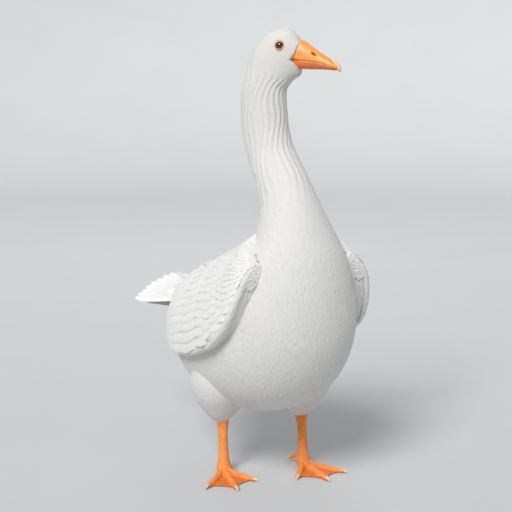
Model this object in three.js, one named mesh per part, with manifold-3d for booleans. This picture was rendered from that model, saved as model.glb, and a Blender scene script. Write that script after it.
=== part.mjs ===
// A white domestic goose of the Embden kind, life size.
// It stands still with its neck up and its head turned to its left.
// Millimetres. +Z is up, the goose faces -Y and its left side is +X.
// It stands on z = 0, with the origin under the middle of its box.
// The body is described from the side: "fore" runs forward from the stance and "up" from the floor.
import * as THREE from "three";
import { mergeVertices } from "three/addons/utils/BufferGeometryUtils.js";
import Module from "manifold-3d";

const wasm = await Module();
wasm.setup();

// ---- Driving dimensions ----
const GAP = 0.3; // between neighbouring pieces
const GROWN = 0.4; // how far a piece is grown before its neighbour is cut by it
const BOX_CENTRE = { left: 0, fore: -115 }; // of the whole goose, in the stance
const HEAD_TURN = THREE.MathUtils.degToRad(40); // to the goose's left
const HEAD_AXIS_FORE = -6; // the upright axis that the neck turns about
const HIP_APART = 76; // from the middle of the body to the top of each thigh
const LEG_APART = { right: 76, left: 90 }; // and to each leg
const LEG_FORE = { right: -50, left: -8 };
const FOOT_TURN = { right: -14, left: -3 }; // degrees, positive towards the goose's left
const HOCK = 113; // height of the ankle joint
const BILL_ROOT = { fore: 64, up: 851 };
const BILL_PITCH = THREE.MathUtils.degToRad(8); // downwards
// The eye lies on the head at a section and an angle from the crown, its middle a depth below the skin.
const EYE = { section: 22.85, angle: 1.35, depth: 5.4, radius: 9.2, lid: 1.5 };

// ---- Sections of the body, from the rump over the breast and up the neck to the bill ----
// Each row is a cross-section seen from the side: its top point (fore, up), its bottom point (fore, up),
// its half width, how far up its height it is widest, and the power of its outline (2 is an ellipse).
const BODY = [
  [-278, 370, -280, 326, 26, 0.5, 2],
  [-254, 387, -272, 282, 62, 0.5, 2],
  [-204, 406, -244, 218, 100, 0.46, 2.05],
  [-142, 428, -180, 162, 129, 0.45, 2.1],
  [-76, 448, -92, 143, 143, 0.44, 2.15],
  [-20, 468, 2, 142, 148, 0.45, 2.15],
  [14, 480, 90, 168, 145, 0.46, 2.1],
  [30, 486, 153, 220, 134, 0.47, 2.05],
  [36, 489, 190, 296, 123, 0.48, 2],
  [38, 492, 198, 380, 109, 0.5, 2],
  [36, 498, 188, 459, 95, 0.5, 2],
  [32, 507, 163, 524, 77, 0.5, 2],
  [25, 523, 135, 573, 63, 0.5, 2],
  [10, 554, 103, 611, 53, 0.5, 2],
  [-15, 596, 71, 645, 48.5, 0.5, 2],
  [-39, 640, 48, 674, 45.5, 0.5, 2],
  [-54, 684, 37, 705, 43, 0.5, 2],
  [-59, 729, 33, 735, 41, 0.5, 2],
  [-58, 773, 31, 762, 39, 0.5, 2],
  [-52, 807, 32, 783, 37, 0.5, 2],
  [-43, 839, 40, 794, 35, 0.52, 2.05],
  [-29, 867, 47, 801, 33.5, 0.55, 2.1],
  [-6, 888, 53, 805, 32, 0.56, 2.15],
  [17, 898, 58, 808, 30.5, 0.56, 2.15],
  [37, 899, 63, 812, 26.5, 0.54, 2.15],
  [53, 889, 69, 817, 22, 0.5, 2.15],
  [64, 874, 73, 822, 19.5, 0.45, 2.1],
  [69, 863, 76, 828, 16, 0.45, 2],
];
const SECTION = { rump: 0, neckRoot: 11, neckMiddle: 14.5, nape: 19, end: BODY.length - 1 };
const TURN_FROM = 11.5; // the section where the neck begins to turn
const BODY_SIDES = 27;
const NECK_SIDES = 24;

// The wing's outer face is a wider body, in the same kind of rows, from the tail to the shoulder.
const WING_SHELL = [
  [-322, 338, -312, 214, 80, 0.5, 2],
  [-262, 378, -262, 180, 104, 0.5, 2],
  [-205, 414, -222, 158, 126, 0.5, 2.1],
  [-140, 438, -160, 140, 147, 0.48, 2.15],
  [-76, 461, -90, 126, 162, 0.47, 2.2],
  [-20, 483, 0, 124, 171, 0.47, 2.2],
  [18, 499, 84, 146, 173, 0.47, 2.2],
  [44, 512, 152, 198, 167, 0.48, 2.15],
  [60, 521, 196, 282, 154, 0.5, 2.1],
  [68, 526, 214, 372, 134, 0.5, 2],
  [72, 530, 214, 440, 113, 0.5, 2],
];
// The wing's outline on that shell: a section, then the angles, in degrees from the top of the back,
// of its upper and its lower edge.
const WING_OUTLINE = [
  [0.7, 56, 96],
  [1, 43, 101],
  [1.5, 31, 106],
  [2.2, 21, 108],
  [3, 14, 107],
  [4, 10, 103],
  [5, 9, 99],
  [6, 11, 96],
  [7, 20, 94],
  [8, 34, 92],
  [8.7, 47, 88],
  [9.1, 58, 82],
  [9.3, 66, 75],
];
const WING = {
  front: 9.28, // the section of the shell where it starts
  coreEnd: 1.3, // and where its flesh ends, under the vanes
  thickness: { shoulder: 42, tip: 12 },
  edgeRounding: { line: 0.06, front: 0.7, drop: 12 },
};

const ORANGE = 0xf0882e;
const MATERIALS = {
  plumage: new THREE.MeshStandardMaterial({ color: 0xf4f3ef, roughness: 0.85, metalness: 0 }),
  bill: new THREE.MeshStandardMaterial({ color: ORANGE, roughness: 0.42, metalness: 0 }),
  nail: new THREE.MeshStandardMaterial({ color: 0xf7c99a, roughness: 0.4, metalness: 0 }),
  eye: new THREE.MeshStandardMaterial({ color: 0x0b0d12, roughness: 0.08, metalness: 0 }),
  leg: new THREE.MeshStandardMaterial({ color: ORANGE, roughness: 0.55, metalness: 0 }),
  claw: new THREE.MeshStandardMaterial({ color: 0xd9b48c, roughness: 0.5, metalness: 0 }),
};

// ---- Small tools ----

const at = (left, fore, up) => new THREE.Vector3(left - BOX_CENTRE.left, BOX_CENTRE.fore - fore, up);
const mix = (a, b, f) => a + (b - a) * f;
const smooth = (x) => THREE.MathUtils.smoothstep(x, 0, 1);
const steps = (count) => Array.from({ length: count }, (_, i) => i);
const power = (value, exponent) => Math.sign(value) * Math.abs(value) ** exponent;

// Which way a line of places runs at one of them.
function directionAt(places, i) {
  const next = places[Math.min(i + 1, places.length - 1)];
  return next.clone().sub(places[Math.max(i - 1, 0)]).normalize();
}

// A seeded draw between -1 and 1, so that feathers vary a little and always in the same way.
function dice(seed) {
  let state = seed;
  return () => {
    state = (state * 1664525 + 1013904223) % 4294967296;
    return (state / 4294967296) * 2 - 1;
  };
}

// The row at place s of a list of rows of numbers, on a uniform Catmull-Rom spline through them.
function rowAt(rows, s) {
  const last = rows.length - 1;
  const i = Math.max(0, Math.min(Math.floor(s), last - 1));
  const f = s - i;
  return rows[i].map((here, k) => {
    const next = rows[i + 1][k];
    const before = i > 0 ? rows[i - 1][k] : 2 * here - next;
    const after = i + 2 <= last ? rows[i + 2][k] : 2 * next - here;
    const out = (next - before) / 2;
    const inward = (after - here) / 2;
    const square = 3 * (next - here) - 2 * out - inward;
    const cube = 2 * (here - next) + out + inward;
    return here + f * (out + f * (square + f * cube));
  });
}

// The same for rows whose first number is a distance: the other numbers at that distance.
function rowAtDistance(rows, distance) {
  let i = 0;
  while (i < rows.length - 2 && rows[i + 1][0] < distance) i += 1;
  const f = (distance - rows[i][0]) / (rows[i + 1][0] - rows[i][0]);
  return rowAt(rows, i + Math.max(0, Math.min(1, f))).slice(1);
}

// A point of a cross-section. The angle is 0 at its top, grows towards the goose's left
// and is pi at its bottom.
function sectionPoint([topFore, topUp, lowFore, lowUp, half, widest, square], angle, grow = 0) {
  const more = grow / Math.hypot(topFore - lowFore, topUp - lowUp);
  const rise = Math.abs(Math.cos(angle)) ** (2 / square);
  const share = mix(widest, Math.cos(angle) > 0 ? 1 + more : -more, rise);
  const across = (half + grow) * power(Math.sin(angle), 2 / square);
  return { left: across, fore: mix(lowFore, topFore, share), up: mix(lowUp, topUp, share) };
}

// Turns a solid out of a closed geometry, facing out.
function solidOf(geometry) {
  geometry.deleteAttribute("normal");
  geometry.deleteAttribute("uv");
  const merged = mergeVertices(geometry, 1e-4);
  const places = merged.attributes.position.array;
  const triangles = new Uint32Array(merged.index.array);
  const corner = (i) => new THREE.Vector3().fromArray(places, triangles[i] * 3);
  let volume = 0;
  for (let i = 0; i < triangles.length; i += 3)
    volume += corner(i).dot(corner(i + 1).cross(corner(i + 2)));
  if (volume < 0)
    for (let i = 0; i < triangles.length; i += 3)
      [triangles[i], triangles[i + 1]] = [triangles[i + 1], triangles[i]];
  return new wasm.Manifold(new wasm.Mesh({ numProp: 3, vertProperties: places, triVerts: triangles }));
}

// A solid through rings of points with equally many points each, closed by a fan at each end.
// With flat set, both halves of each ring are split into triangles alike, as a thin vane needs.
function loft(rings, flat = false) {
  const sides = rings[0].length;
  const points = rings.flat();
  const index = [];
  for (let i = 0; i < rings.length - 1; i += 1)
    for (let j = 0; j < sides; j += 1) {
      const a = i * sides + j;
      const b = i * sides + ((j + 1) % sides);
      if (flat && j >= sides / 2) index.push(a, b, a + sides, b, b + sides, a + sides);
      else index.push(a, b + sides, a + sides, a, b, b + sides);
    }
  for (const [ring, first] of [[rings[0], 0], [rings.at(-1), points.length - sides]]) {
    const sum = ring.reduce((total, p) => total.add(p), new THREE.Vector3());
    const middle = points.push(sum.divideScalar(sides)) - 1;
    for (let j = 0; j < sides; j += 1) {
      const next = (j + 1) % sides;
      if (first) index.push(middle, first + j, first + next);
      else index.push(middle, next, j);
    }
  }
  const geometry = new THREE.BufferGeometry().setFromPoints(points);
  geometry.setIndex(index);
  return solidOf(geometry);
}

const joined = (pieces) => wasm.Manifold.union(pieces);

// The largest closed surface of a solid: loose scraps and sealed hollows go.
function largest(solid) {
  return solid.decompose().reduce((best, piece) => (piece.volume() > best.volume() ? piece : best));
}

function meshOf(name, solid, material) {
  const { numProp, vertProperties, triVerts } = largest(solid).getMesh();
  const points = steps(vertProperties.length / numProp).map((i) =>
    new THREE.Vector3().fromArray(vertProperties, i * numProp),
  );
  const geometry = new THREE.BufferGeometry().setFromPoints(points);
  geometry.setIndex(new THREE.BufferAttribute(new Uint32Array(triVerts), 1));
  geometry.computeVertexNormals();
  const mesh = new THREE.Mesh(geometry, material);
  mesh.name = name;
  return mesh;
}

// ---- Torso, neck and head ----

const turnShare = (s) => smooth((s - TURN_FROM) / (SECTION.nape - TURN_FROM));

// A point of the straight goose turned about the neck's upright axis.
function turned({ left, fore, up }, angle) {
  const ahead = fore - HEAD_AXIS_FORE;
  return at(
    left * Math.cos(angle) + ahead * Math.sin(angle),
    HEAD_AXIS_FORE + ahead * Math.cos(angle) - left * Math.sin(angle),
    up,
  );
}

function bodyRing(s, sides, grow = 0, turn = HEAD_TURN) {
  const row = rowAt(BODY, s);
  const angle = turn * turnShare(s);
  return steps(sides).map((j) => turned(sectionPoint(row, (2 * Math.PI * j) / sides, grow), angle));
}

// A length of the body between two sections.
// Its first face is set back by the gap that it keeps to the length before it.
function bodyLength(from, to, rings, sides, { grow = 0, gap = GAP, turn = HEAD_TURN } = {}) {
  const made = steps(rings + 1).map((i) => bodyRing(mix(from, to, i / rings), sides, grow, turn));
  const [first, second] = made;
  const [a, b, c] = [0, sides / 3, (2 * sides) / 3].map((j) => first[Math.floor(j)]);
  const { normal } = new THREE.Plane().setFromCoplanarPoints(a, b, c);
  if (normal.dot(second[0].clone().sub(a)) < 0) normal.negate();
  made[0] = first.map((p) => p.clone().addScaledVector(normal, gap));
  return loft(made);
}

const torsoSolid = (options) =>
  bodyLength(SECTION.rump, SECTION.neckRoot, 20, BODY_SIDES, { gap: 0, ...options });
const lowerNeckSolid = (options) =>
  bodyLength(SECTION.neckRoot, SECTION.neckMiddle, 8, NECK_SIDES, options);
const upperNeckSolid = () => bodyLength(SECTION.neckMiddle, SECTION.nape, 10, NECK_SIDES);
const torsoGrown = torsoSolid({ grow: GROWN });
const neckGrown = lowerNeckSolid({ grow: GROWN, gap: -GROWN });

// Where an eye lies on the surface of the head before the head turns, and which way it looks.
function eyePlace(side) {
  const place = (section, angle) => {
    const p = sectionPoint(rowAt(BODY, section), side * angle);
    return at(p.left, p.fore, p.up);
  };
  const surface = place(EYE.section, EYE.angle);
  const ahead = place(EYE.section + 0.2, EYE.angle).sub(place(EYE.section - 0.2, EYE.angle));
  const down = place(EYE.section, EYE.angle + 0.1).sub(place(EYE.section, EYE.angle - 0.1));
  return { surface, outward: ahead.cross(down).multiplyScalar(side).normalize() };
}

function eyeSolid(side, grow = 0) {
  const { surface, outward } = eyePlace(side);
  const ball = new THREE.SphereGeometry(EYE.radius + grow, 16, 10);
  ball.rotateZ(Math.PI / 2);
  const middle = surface.addScaledVector(outward, -EYE.depth);
  return solidOf(ball.translate(middle.x, middle.y, middle.z));
}

function lidRing(side) {
  const { surface, outward } = eyePlace(side);
  const opening = Math.sqrt(EYE.radius ** 2 - EYE.depth ** 2);
  const ring = new THREE.TorusGeometry(opening + 0.6, EYE.lid, 5, 16);
  ring.scale(1, 1.1, 1);
  ring.applyQuaternion(new THREE.Quaternion().setFromUnitVectors(new THREE.Vector3(0, 0, 1), outward));
  return solidOf(ring.translate(surface.x, surface.y, surface.z));
}

// ---- Bill ----
// Rows along its own axis: distance ahead of the root, top, bottom, half width, widest, power.
const UPPER_BILL = [
  [-34, 20, -14, 17, 0.25, 2.2],
  [-14, 27, -13.5, 20, 0.16, 2.2],
  [2, 25, -14, 18.8, 0.14, 2.1],
  [16, 18.5, -13, 16.9, 0.14, 2.1],
  [32, 10, -12.6, 14.8, 0.16, 2.1],
  [48, 3, -14, 13.6, 0.2, 2.1],
  [61, -2.4, -17, 12.8, 0.25, 2.1],
  [71, -6.6, -19.6, 10.8, 0.35, 2],
  [77.5, -10.6, -20.4, 6.8, 0.45, 2],
  [80, -14, -19.4, 2.6, 0.5, 2],
];
const LOWER_BILL = [
  [-30, -6, -24, 12, 0.6, 2.2],
  [-14, -4, -26.5, 15.6, 0.6, 2.2],
  [2, -4, -28, 15.6, 0.55, 2.2],
  [18, -4, -27, 14.2, 0.55, 2.2],
  [36, -5, -24.6, 12.4, 0.6, 2.2],
  [54, -8, -22.6, 11.2, 0.65, 2.2],
  [66, -12, -22, 9, 0.65, 2.1],
  [73, -15, -21.4, 5.4, 0.6, 2],
];
const BILL_NAIL = [
  [60, -2.6, -11, 4, 0.5, 2],
  [64, -2.4, -14, 7, 0.5, 2],
  [70, -4.6, -17.5, 8.6, 0.5, 2],
  [75.5, -7.9, -21.4, 8, 0.5, 2],
  [80, -12.6, -23, 5.4, 0.5, 2],
  [82.2, -16.6, -21.8, 2, 0.5, 2],
];
// The edge of the face feathers on the bill, from the forehead down past the mouth to the chin.
const FACE_EDGE = [
  [6, 40],
  [1, 24],
  [-5, 12],
  [-7, 0],
  [-13, -10],
  [-15, -13.5],
  [-8, -18],
  [0, -26],
  [4, -40],
];
const NOSTRIL = { ahead: 27, up: 3.2, long: 6, high: 2.3, deep: 4.5 };
const BILL_SIDES = 14;

// A point of the bill's own frame in the side view of the body.
function billPoint(ahead, up) {
  return {
    fore: BILL_ROOT.fore + ahead * Math.cos(BILL_PITCH) + up * Math.sin(BILL_PITCH),
    up: BILL_ROOT.up - ahead * Math.sin(BILL_PITCH) + up * Math.cos(BILL_PITCH),
  };
}

function billSolid(rows, sides, grow = 0, finish = 2) {
  const count = (rows.length - 1) * finish;
  const rings = steps(count + 1).map((i) => {
    const [ahead, top, low, half, widest, square] = rowAt(rows, i / finish);
    const stretch = i === 0 ? -grow : i === count ? grow : 0;
    return steps(sides).map((j) => {
      const p = sectionPoint([0, top, 0, low, half, widest, square], (2 * Math.PI * j) / sides, grow);
      const { fore, up } = billPoint(ahead + stretch, p.up);
      return at(p.left, fore, up);
    });
  });
  return loft(rings);
}

// Everything ahead of the feather edge, set forward by a gap.
function aheadOfFeathers(forward) {
  const shape = new THREE.Shape();
  const edge = new THREE.SplineCurve(FACE_EDGE.map(([ahead, up]) => {
    const p = billPoint(ahead + forward, up);
    return new THREE.Vector2(BOX_CENTRE.fore - p.fore, p.up);
  }));
  shape.setFromPoints(edge.getPoints(20));
  for (const [ahead, up] of [[120, -60], [120, 60]]) {
    const p = billPoint(ahead, up);
    shape.lineTo(BOX_CENTRE.fore - p.fore, p.up);
  }
  const block = new THREE.ExtrudeGeometry(shape, { depth: 120, bevelEnabled: false, steps: 1 });
  block.translate(0, 0, -60 - BOX_CENTRE.left);
  // The shape's x and y become the goose's Y and Z; the depth runs across it.
  block.applyMatrix4(new THREE.Matrix4().set(0, 0, 1, 0, 1, 0, 0, 0, 0, 1, 0, 0, 0, 0, 0, 1));
  return solidOf(block);
}

function nostril(side) {
  const pit = new THREE.SphereGeometry(1, 12, 8);
  pit.scale(NOSTRIL.deep, NOSTRIL.long, NOSTRIL.high);
  pit.rotateX(0.42);
  const { fore, up } = billPoint(NOSTRIL.ahead, NOSTRIL.up);
  const middle = at(side * 13.6, fore, up);
  return solidOf(pit.translate(middle.x, middle.y, middle.z));
}

function headParts() {
  const ahead = aheadOfFeathers(GAP);
  const flesh = bodyLength(SECTION.nape, SECTION.end, 15, NECK_SIDES, { turn: 0 });
  const nail = billSolid(BILL_NAIL, 12);
  const nailGrown = billSolid(BILL_NAIL, 12, GAP);
  const upperGrown = billSolid(UPPER_BILL, BILL_SIDES, GROWN);
  const upper = billSolid(UPPER_BILL, BILL_SIDES)
    .intersect(ahead)
    .subtract(joined([nailGrown, nostril(1), nostril(-1)]));
  const lower = billSolid(LOWER_BILL, BILL_SIDES)
    .intersect(ahead)
    .subtract(joined([nailGrown, upperGrown]));
  const face = joined([flesh.subtract(aheadOfFeathers(0)), lidRing(1), lidRing(-1)])
    .subtract(joined([eyeSolid(1, GAP), eyeSolid(-1, GAP)]));
  return [
    meshOf("head", face, MATERIALS.plumage),
    meshOf("bill_upper", upper, MATERIALS.bill),
    meshOf("bill_lower", lower, MATERIALS.bill),
    meshOf("bill_nail", nail, MATERIALS.nail),
    meshOf("eye_left", eyeSolid(1), MATERIALS.eye),
    meshOf("eye_right", eyeSolid(-1), MATERIALS.eye),
  ];
}

// ---- Wings ----

// A point of the wing's outer face: a section of the shell, and a line from 0 at the lower edge
// to 1 at the upper.
function wingPoint(side, section, line, raise = 0) {
  const [high, low] = rowAtDistance(WING_OUTLINE, section);
  const angle = THREE.MathUtils.degToRad(mix(low, high, line));
  const p = sectionPoint(rowAt(WING_SHELL, section), angle, raise);
  return at(side * p.left, p.fore, p.up);
}

// How far the wing's flesh is rounded off near its front and lower edges.
function edgeSink(section, line) {
  const { line: span, front, drop } = WING.edgeRounding;
  const edge = Math.min(1, Math.max(0, 1 - line / span, 1 - (WING.front - section) / front));
  return drop * (1 - Math.sqrt(1 - edge ** 2));
}

function wingNormal(side, section, line) {
  const behind = wingPoint(side, section - 0.08, line).sub(wingPoint(side, section + 0.08, line));
  const above = wingPoint(side, section, line + 0.03).sub(wingPoint(side, section, line - 0.03));
  return above.cross(behind).multiplyScalar(side).normalize();
}

function wingCore(side) {
  const rings = 11;
  const lines = 8;
  return loft(
    steps(rings + 1).map((i) => {
      const section = mix(WING.front, WING.coreEnd, (i / rings) ** 1.4);
      const thick = mix(WING.thickness.tip, WING.thickness.shoulder, smooth((section - 2) / 2));
      const place = (j, depth) => {
        const line = mix(0.02, 0.98, (j / lines) ** 1.3);
        return wingPoint(side, section, line, -depth - edgeSink(section, line));
      };
      const depthAt = (j) => 2 + thick * (0.3 + 0.7 * Math.sin((Math.PI * j) / lines));
      const outer = steps(lines + 1).map((j) => place(j, 2));
      const inner = steps(lines + 1).map((j) => place(j, depthAt(j)));
      return [...outer, ...inner.reverse()];
    }),
  );
}

// One vane: a tapered blade with a raised shaft, from its root in the wing to its tip.
// Its edge on one side stands out by the tilt and the other goes in, so that neighbours lie over
// each other without crossing.
function blade(places, normals, halfWidths, thicknesses, camber, tilt = 0) {
  const rings = places.map((p, i) => {
    const across = directionAt(places, i).cross(normals[i]).normalize();
    const half = halfWidths[i];
    const shift = (sideways, out) =>
      p.clone().addScaledVector(across, sideways).addScaledVector(normals[i], out);
    return [
      shift(-half, -(camber + tilt) * half),
      shift(0, thicknesses[i] / 2),
      shift(half, (tilt - camber) * half),
      shift(0, -thicknesses[i] / 2),
    ];
  });
  return loft(rings, true);
}

const BLADE_STEPS = [0, 0.5, 0.88, 1];
const BLADE_WIDTHS = [0.75, 1, 0.86, 0.38];

function wingVane(side, root, tip, line, tipLine, half, lift, tilt, thick = 3.2) {
  const places = [];
  const normals = [];
  for (const t of BLADE_STEPS) {
    const section = mix(root, tip, t);
    const here = mix(line, tipLine, t * t);
    const normal = wingNormal(side, section, here);
    normals.push(normal);
    places.push(wingPoint(side, section, here).addScaledVector(normal, mix(-6, lift, Math.sqrt(t))));
  }
  return blade(
    places,
    normals,
    BLADE_WIDTHS.map((share) => share * half),
    BLADE_STEPS.map((t) => mix(thick, thick * 0.45, t)),
    0.08,
    side * tilt,
  );
}

// Tiers of vanes, as sections of the shell at the lower and the upper edge for the roots and the tips,
// the lines between which they spread, half width, and how far the tips stand off.
const WING_TIERS = [
  { count: 5, root: [3.7, 3.1], tip: [1.8, 0.85], lines: [0.06, 0.56], half: 14.5, lift: 0.5 },
  { count: 8, root: [4.6, 4.2], tip: [2.65, 1.25], lines: [0.065, 0.93], half: 19, lift: 2.4 },
  { count: 8, root: [5.9, 5.5], tip: [4.1, 3.3], lines: [0.07, 0.92], half: 20, lift: 3.4 },
  { count: 7, root: [7.3, 6.9], tip: [5.5, 5], lines: [0.085, 0.9], half: 21, lift: 3.6 },
];

function wingSolid(side) {
  const draw = dice(side > 0 ? 11 : 23);
  const vanes = WING_TIERS.flatMap(({ count, root, tip, lines, half, lift }) =>
    steps(count).map((i) => {
      const f = i / (count - 1);
      const line = mix(lines[0], lines[1], f);
      return wingVane(
        side,
        mix(root[0], root[1], f),
        mix(tip[0], tip[1], f) + 0.06 * draw(),
        line,
        line + 0.008 * draw(),
        half * (1 + 0.06 * draw()),
        lift,
        mix(-0.05, 0.15, Math.min(1, 3 * f)),
      );
    }),
  );
  const whole = joined([wingCore(side), ...vanes]);
  return whole.subtract(torsoGrown).subtract(neckGrown).subtract(tailGrown);
}

// ---- Tail ----
const TAIL = {
  root: { fore: -236, up: 337 },
  feathers: 13,
  spread: THREE.MathUtils.degToRad(34), // of the outermost feather from the middle one
  rise: THREE.MathUtils.degToRad(1),
  long: 190,
  half: 17,
  roof: { slope: 0.3, ridge: 30 }, // it falls to both sides of a rounded ridge
  layer: 1.3, // each feather lies this much under the one nearer the middle
};
// The tail's flesh: fore, middle height, half width, half height.
const TAIL_CORE = [
  [-206, 334, 62, 60],
  [-236, 335, 62, 51],
  [-264, 338, 56, 39],
  [-290, 340, 47, 26],
  [-314, 342, 36, 14],
  [-334, 343, 24, 5],
];

// A tail vane at a place of the fan, from -1, the outermost on the right, to 1.
// Raise lifts its root and its tip off the fan.
function tailVane(place, start, long, half, raise, draw) {
  const { slope, ridge } = TAIL.roof;
  const out = place * TAIL.spread;
  const reach = long * (1 - 0.14 * place * place) * (1 + 0.015 * draw());
  const places = [];
  const normals = [];
  for (const t of BLADE_STEPS) {
    const along = start + t * reach;
    const left = place * 26 + along * Math.sin(out);
    const ridged = Math.hypot(left, ridge);
    const fore = TAIL.root.fore - along * Math.cos(out) * Math.cos(TAIL.rise);
    const lift = along * Math.sin(TAIL.rise) + 10 * t * t + mix(raise[0], raise[1], t);
    places.push(at(left, fore, TAIL.root.up + lift - slope * (ridged - ridge)));
    normals.push(new THREE.Vector3((slope * left) / ridged, -0.3 - 0.1 * t, 1).normalize());
  }
  return blade(
    places,
    normals,
    BLADE_WIDTHS.map((share) => share * half),
    BLADE_STEPS.map((t) => mix(3, 1.4, t)),
    0.04,
    0.07 * Math.sign(place),
  );
}

function tailSolid(grow = 0) {
  const draw = dice(7);
  const core = loft(
    steps(9).map((i) => {
      const [fore, up, half, high] = rowAt(TAIL_CORE, (i / 8) * (TAIL_CORE.length - 1));
      return steps(12).map((j) => {
        const angle = (2 * Math.PI * j) / 12;
        return at((half + grow) * Math.sin(angle), fore, up + (high + grow) * Math.cos(angle));
      });
    }),
  );
  if (grow > 0) return core;
  const tier = (count, width, start, long, half, raise) =>
    steps(count).map((i) => {
      const place = ((2 * i) / (count - 1) - 1) * width;
      const under = (TAIL.layer * Math.abs(place) * (TAIL.feathers - 1)) / 2;
      return tailVane(place, start, long, half, raise.map((up) => up - under), draw);
    });
  const fan = tier(TAIL.feathers, 1, 24, TAIL.long - 24, TAIL.half, [6, 6]);
  const upper = tier(5, 0.7, 10, 92, 18, [32, 12]);
  const lower = tier(4, 0.6, 10, 96, 20, [-30, -6]);
  return joined([core, ...fan, ...upper, ...lower]).subtract(torsoGrown);
}

const tailGrown = tailSolid(GROWN + 0.4);

// ---- Thighs ----
// Rows: distance out from the leg's line, fore of the leg, up, half width across, half width along.
const THIGH = [
  [-8, 16, 300, 46, 70],
  [-2, 11, 244, 57, 77],
  [3, 6, 204, 60, 74],
  [4, 1, 174, 55, 66],
  [3, -3, 149, 44, 51],
  [1.5, -5, 129, 31, 36],
  [0, -6, 115, 18, 20],
];

function thighSolid(side, apart, legFore) {
  const rings = 10;
  return loft(
    steps(rings + 1).map((i) => {
      const [out, ahead, up, across, along] = rowAt(THIGH, (i / rings) * (THIGH.length - 1));
      const hip = mix(HIP_APART, apart, i / rings);
      return steps(17).map((j) => {
        const angle = (2 * Math.PI * j) / 17;
        const left = side * (hip + out) + across * Math.sin(angle);
        return at(left, legFore + ahead + along * Math.cos(angle), up);
      });
    }),
  );
}

// ---- Legs and feet ----
// In a frame of their own: x across, -y ahead, z up, with the ball of the foot over the origin.
// Rows: up, set back, half width across, half width along.
const TARSUS = [
  [HOCK + 26, 13, 8, 9.5],
  [HOCK + 11, 12.5, 11.4, 13],
  [HOCK, 12, 13.4, 14.8],
  [HOCK - 11, 11, 11.8, 13.6],
  [HOCK - 25, 9.2, 9.9, 11.3],
  [72, 7.6, 9.6, 11],
  [55, 5.6, 9.8, 11],
  [41, 4, 10.6, 11.6],
  [28, 2.4, 12.4, 12.4],
  [17, 0.5, 15, 13.5],
  [8, 0, 15.5, 13.5],
  [-2, 0.5, 12.5, 11],
];
const FOOT_CUT = 30; // height of the joint between the leg and the foot
// Toes: angle from straight ahead towards the outer side (degrees), length, half width at the root.
const TOES = {
  inner: { angle: -38, long: 78, half: 6.6 },
  middle: { angle: 0, long: 100, half: 7.4 },
  outer: { angle: 36, long: 92, half: 6.8 },
};
const CLAW = { long: 13, half: 3.2, high: 3.6 };
const HIND_TOE = { up: 24, long: 25, half: 4.4 };

const inFoot = (across, ahead, up) => new THREE.Vector3(across, -ahead, up);

function tubeSolid(places, widths, heights, sides) {
  const rings = places.map((p, i) => {
    const along = directionAt(places, i);
    const across = along.clone().cross(new THREE.Vector3(0, 0, 1)).normalize();
    const above = across.clone().cross(along);
    return steps(sides).map((j) => {
      const angle = (2 * Math.PI * j) / sides;
      return p
        .clone()
        .addScaledVector(across, widths[i] * Math.sin(angle))
        .addScaledVector(above, heights[i] * Math.cos(angle));
    });
  });
  return loft(rings);
}

function tarsusSolid(grow = 0) {
  const rings = 14;
  return loft(
    steps(rings + 1).map((i) => {
      const [up, back, across, along] = rowAt(TARSUS, (i / rings) * (TARSUS.length - 1));
      const height = i === 0 ? up + grow : up;
      return steps(12).map((j) => {
        const angle = (2 * Math.PI * j) / 12;
        const ahead = (along + grow) * Math.cos(angle) - back;
        return inFoot((across + grow) * Math.sin(angle), ahead, height);
      });
    }),
  );
}

// The line of a toe: from the ball along the floor, with a low arch at each joint.
function toePoint(toe, outward, share, up) {
  const angle = THREE.MathUtils.degToRad(toe.angle) * outward;
  const ahead = share * toe.long;
  return inFoot(ahead * Math.sin(angle), ahead * Math.cos(angle), up);
}

function toeSolid(toe, outward) {
  const shares = [-0.06, 0.2, 0.36, 0.52, 0.68, 0.82, 0.94, 1];
  const swell = [1.3, 1.02, 1.06, 0.88, 1, 0.8, 0.82, 0.44];
  return tubeSolid(
    shares.map((share) => toePoint(toe, outward, share, mix(7.4, 3.6, share))),
    shares.map((share, i) => toe.half * swell[i]),
    shares.map((share, i) => mix(8.6, 5.2, share) * (0.4 + 0.6 * swell[i])),
    8,
  );
}

function webSolid(toeA, toeB, outward) {
  const reach = 0.9;
  const a = toePoint(toeA, outward, reach, 0);
  const b = toePoint(toeB, outward, reach, 0);
  const dip = a.clone().add(b).multiplyScalar(0.5 * 0.86);
  const shape = new THREE.Shape();
  shape.moveTo(0, 0);
  shape.lineTo(a.x, a.y);
  shape.quadraticCurveTo(dip.x, dip.y, b.x, b.y);
  shape.closePath();
  const web = new THREE.ExtrudeGeometry(shape, { depth: 2.6, bevelEnabled: false, curveSegments: 8 });
  return solidOf(web.translate(0, 0, 0.8));
}

function clawSolid(toe, outward, grow = 0) {
  const start = (toe.long - 6 - grow) / toe.long;
  const end = (toe.long + CLAW.long - 4) / toe.long;
  const shares = [start, mix(start, end, 0.35), mix(start, end, 0.7), end];
  const heights = [5.8, 5.6, 4, 1.4];
  return tubeSolid(
    shares.map((share, i) => toePoint(toe, outward, share, heights[i])),
    [1, 1, 0.7, 0.18].map((share) => share * CLAW.half + grow),
    [1, 0.9, 0.6, 0.2].map((share) => share * CLAW.high + grow),
    8,
  );
}

const hindPoint = (outward, share, up) =>
  inFoot(-outward * (6 + 9 * share), -10 - HIND_TOE.long * share, up);

function hindToeSolid(outward) {
  const shares = [-0.2, 0.3, 0.65, 0.9, 1];
  return tubeSolid(
    shares.map((share) => hindPoint(outward, share, mix(HIND_TOE.up, 9.5, Math.max(0, share) ** 1.4))),
    [1.2, 1.05, 0.95, 0.8, 0.4].map((share) => share * HIND_TOE.half),
    [1.3, 1.1, 0.95, 0.8, 0.4].map((share) => share * HIND_TOE.half),
    8,
  );
}

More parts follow.
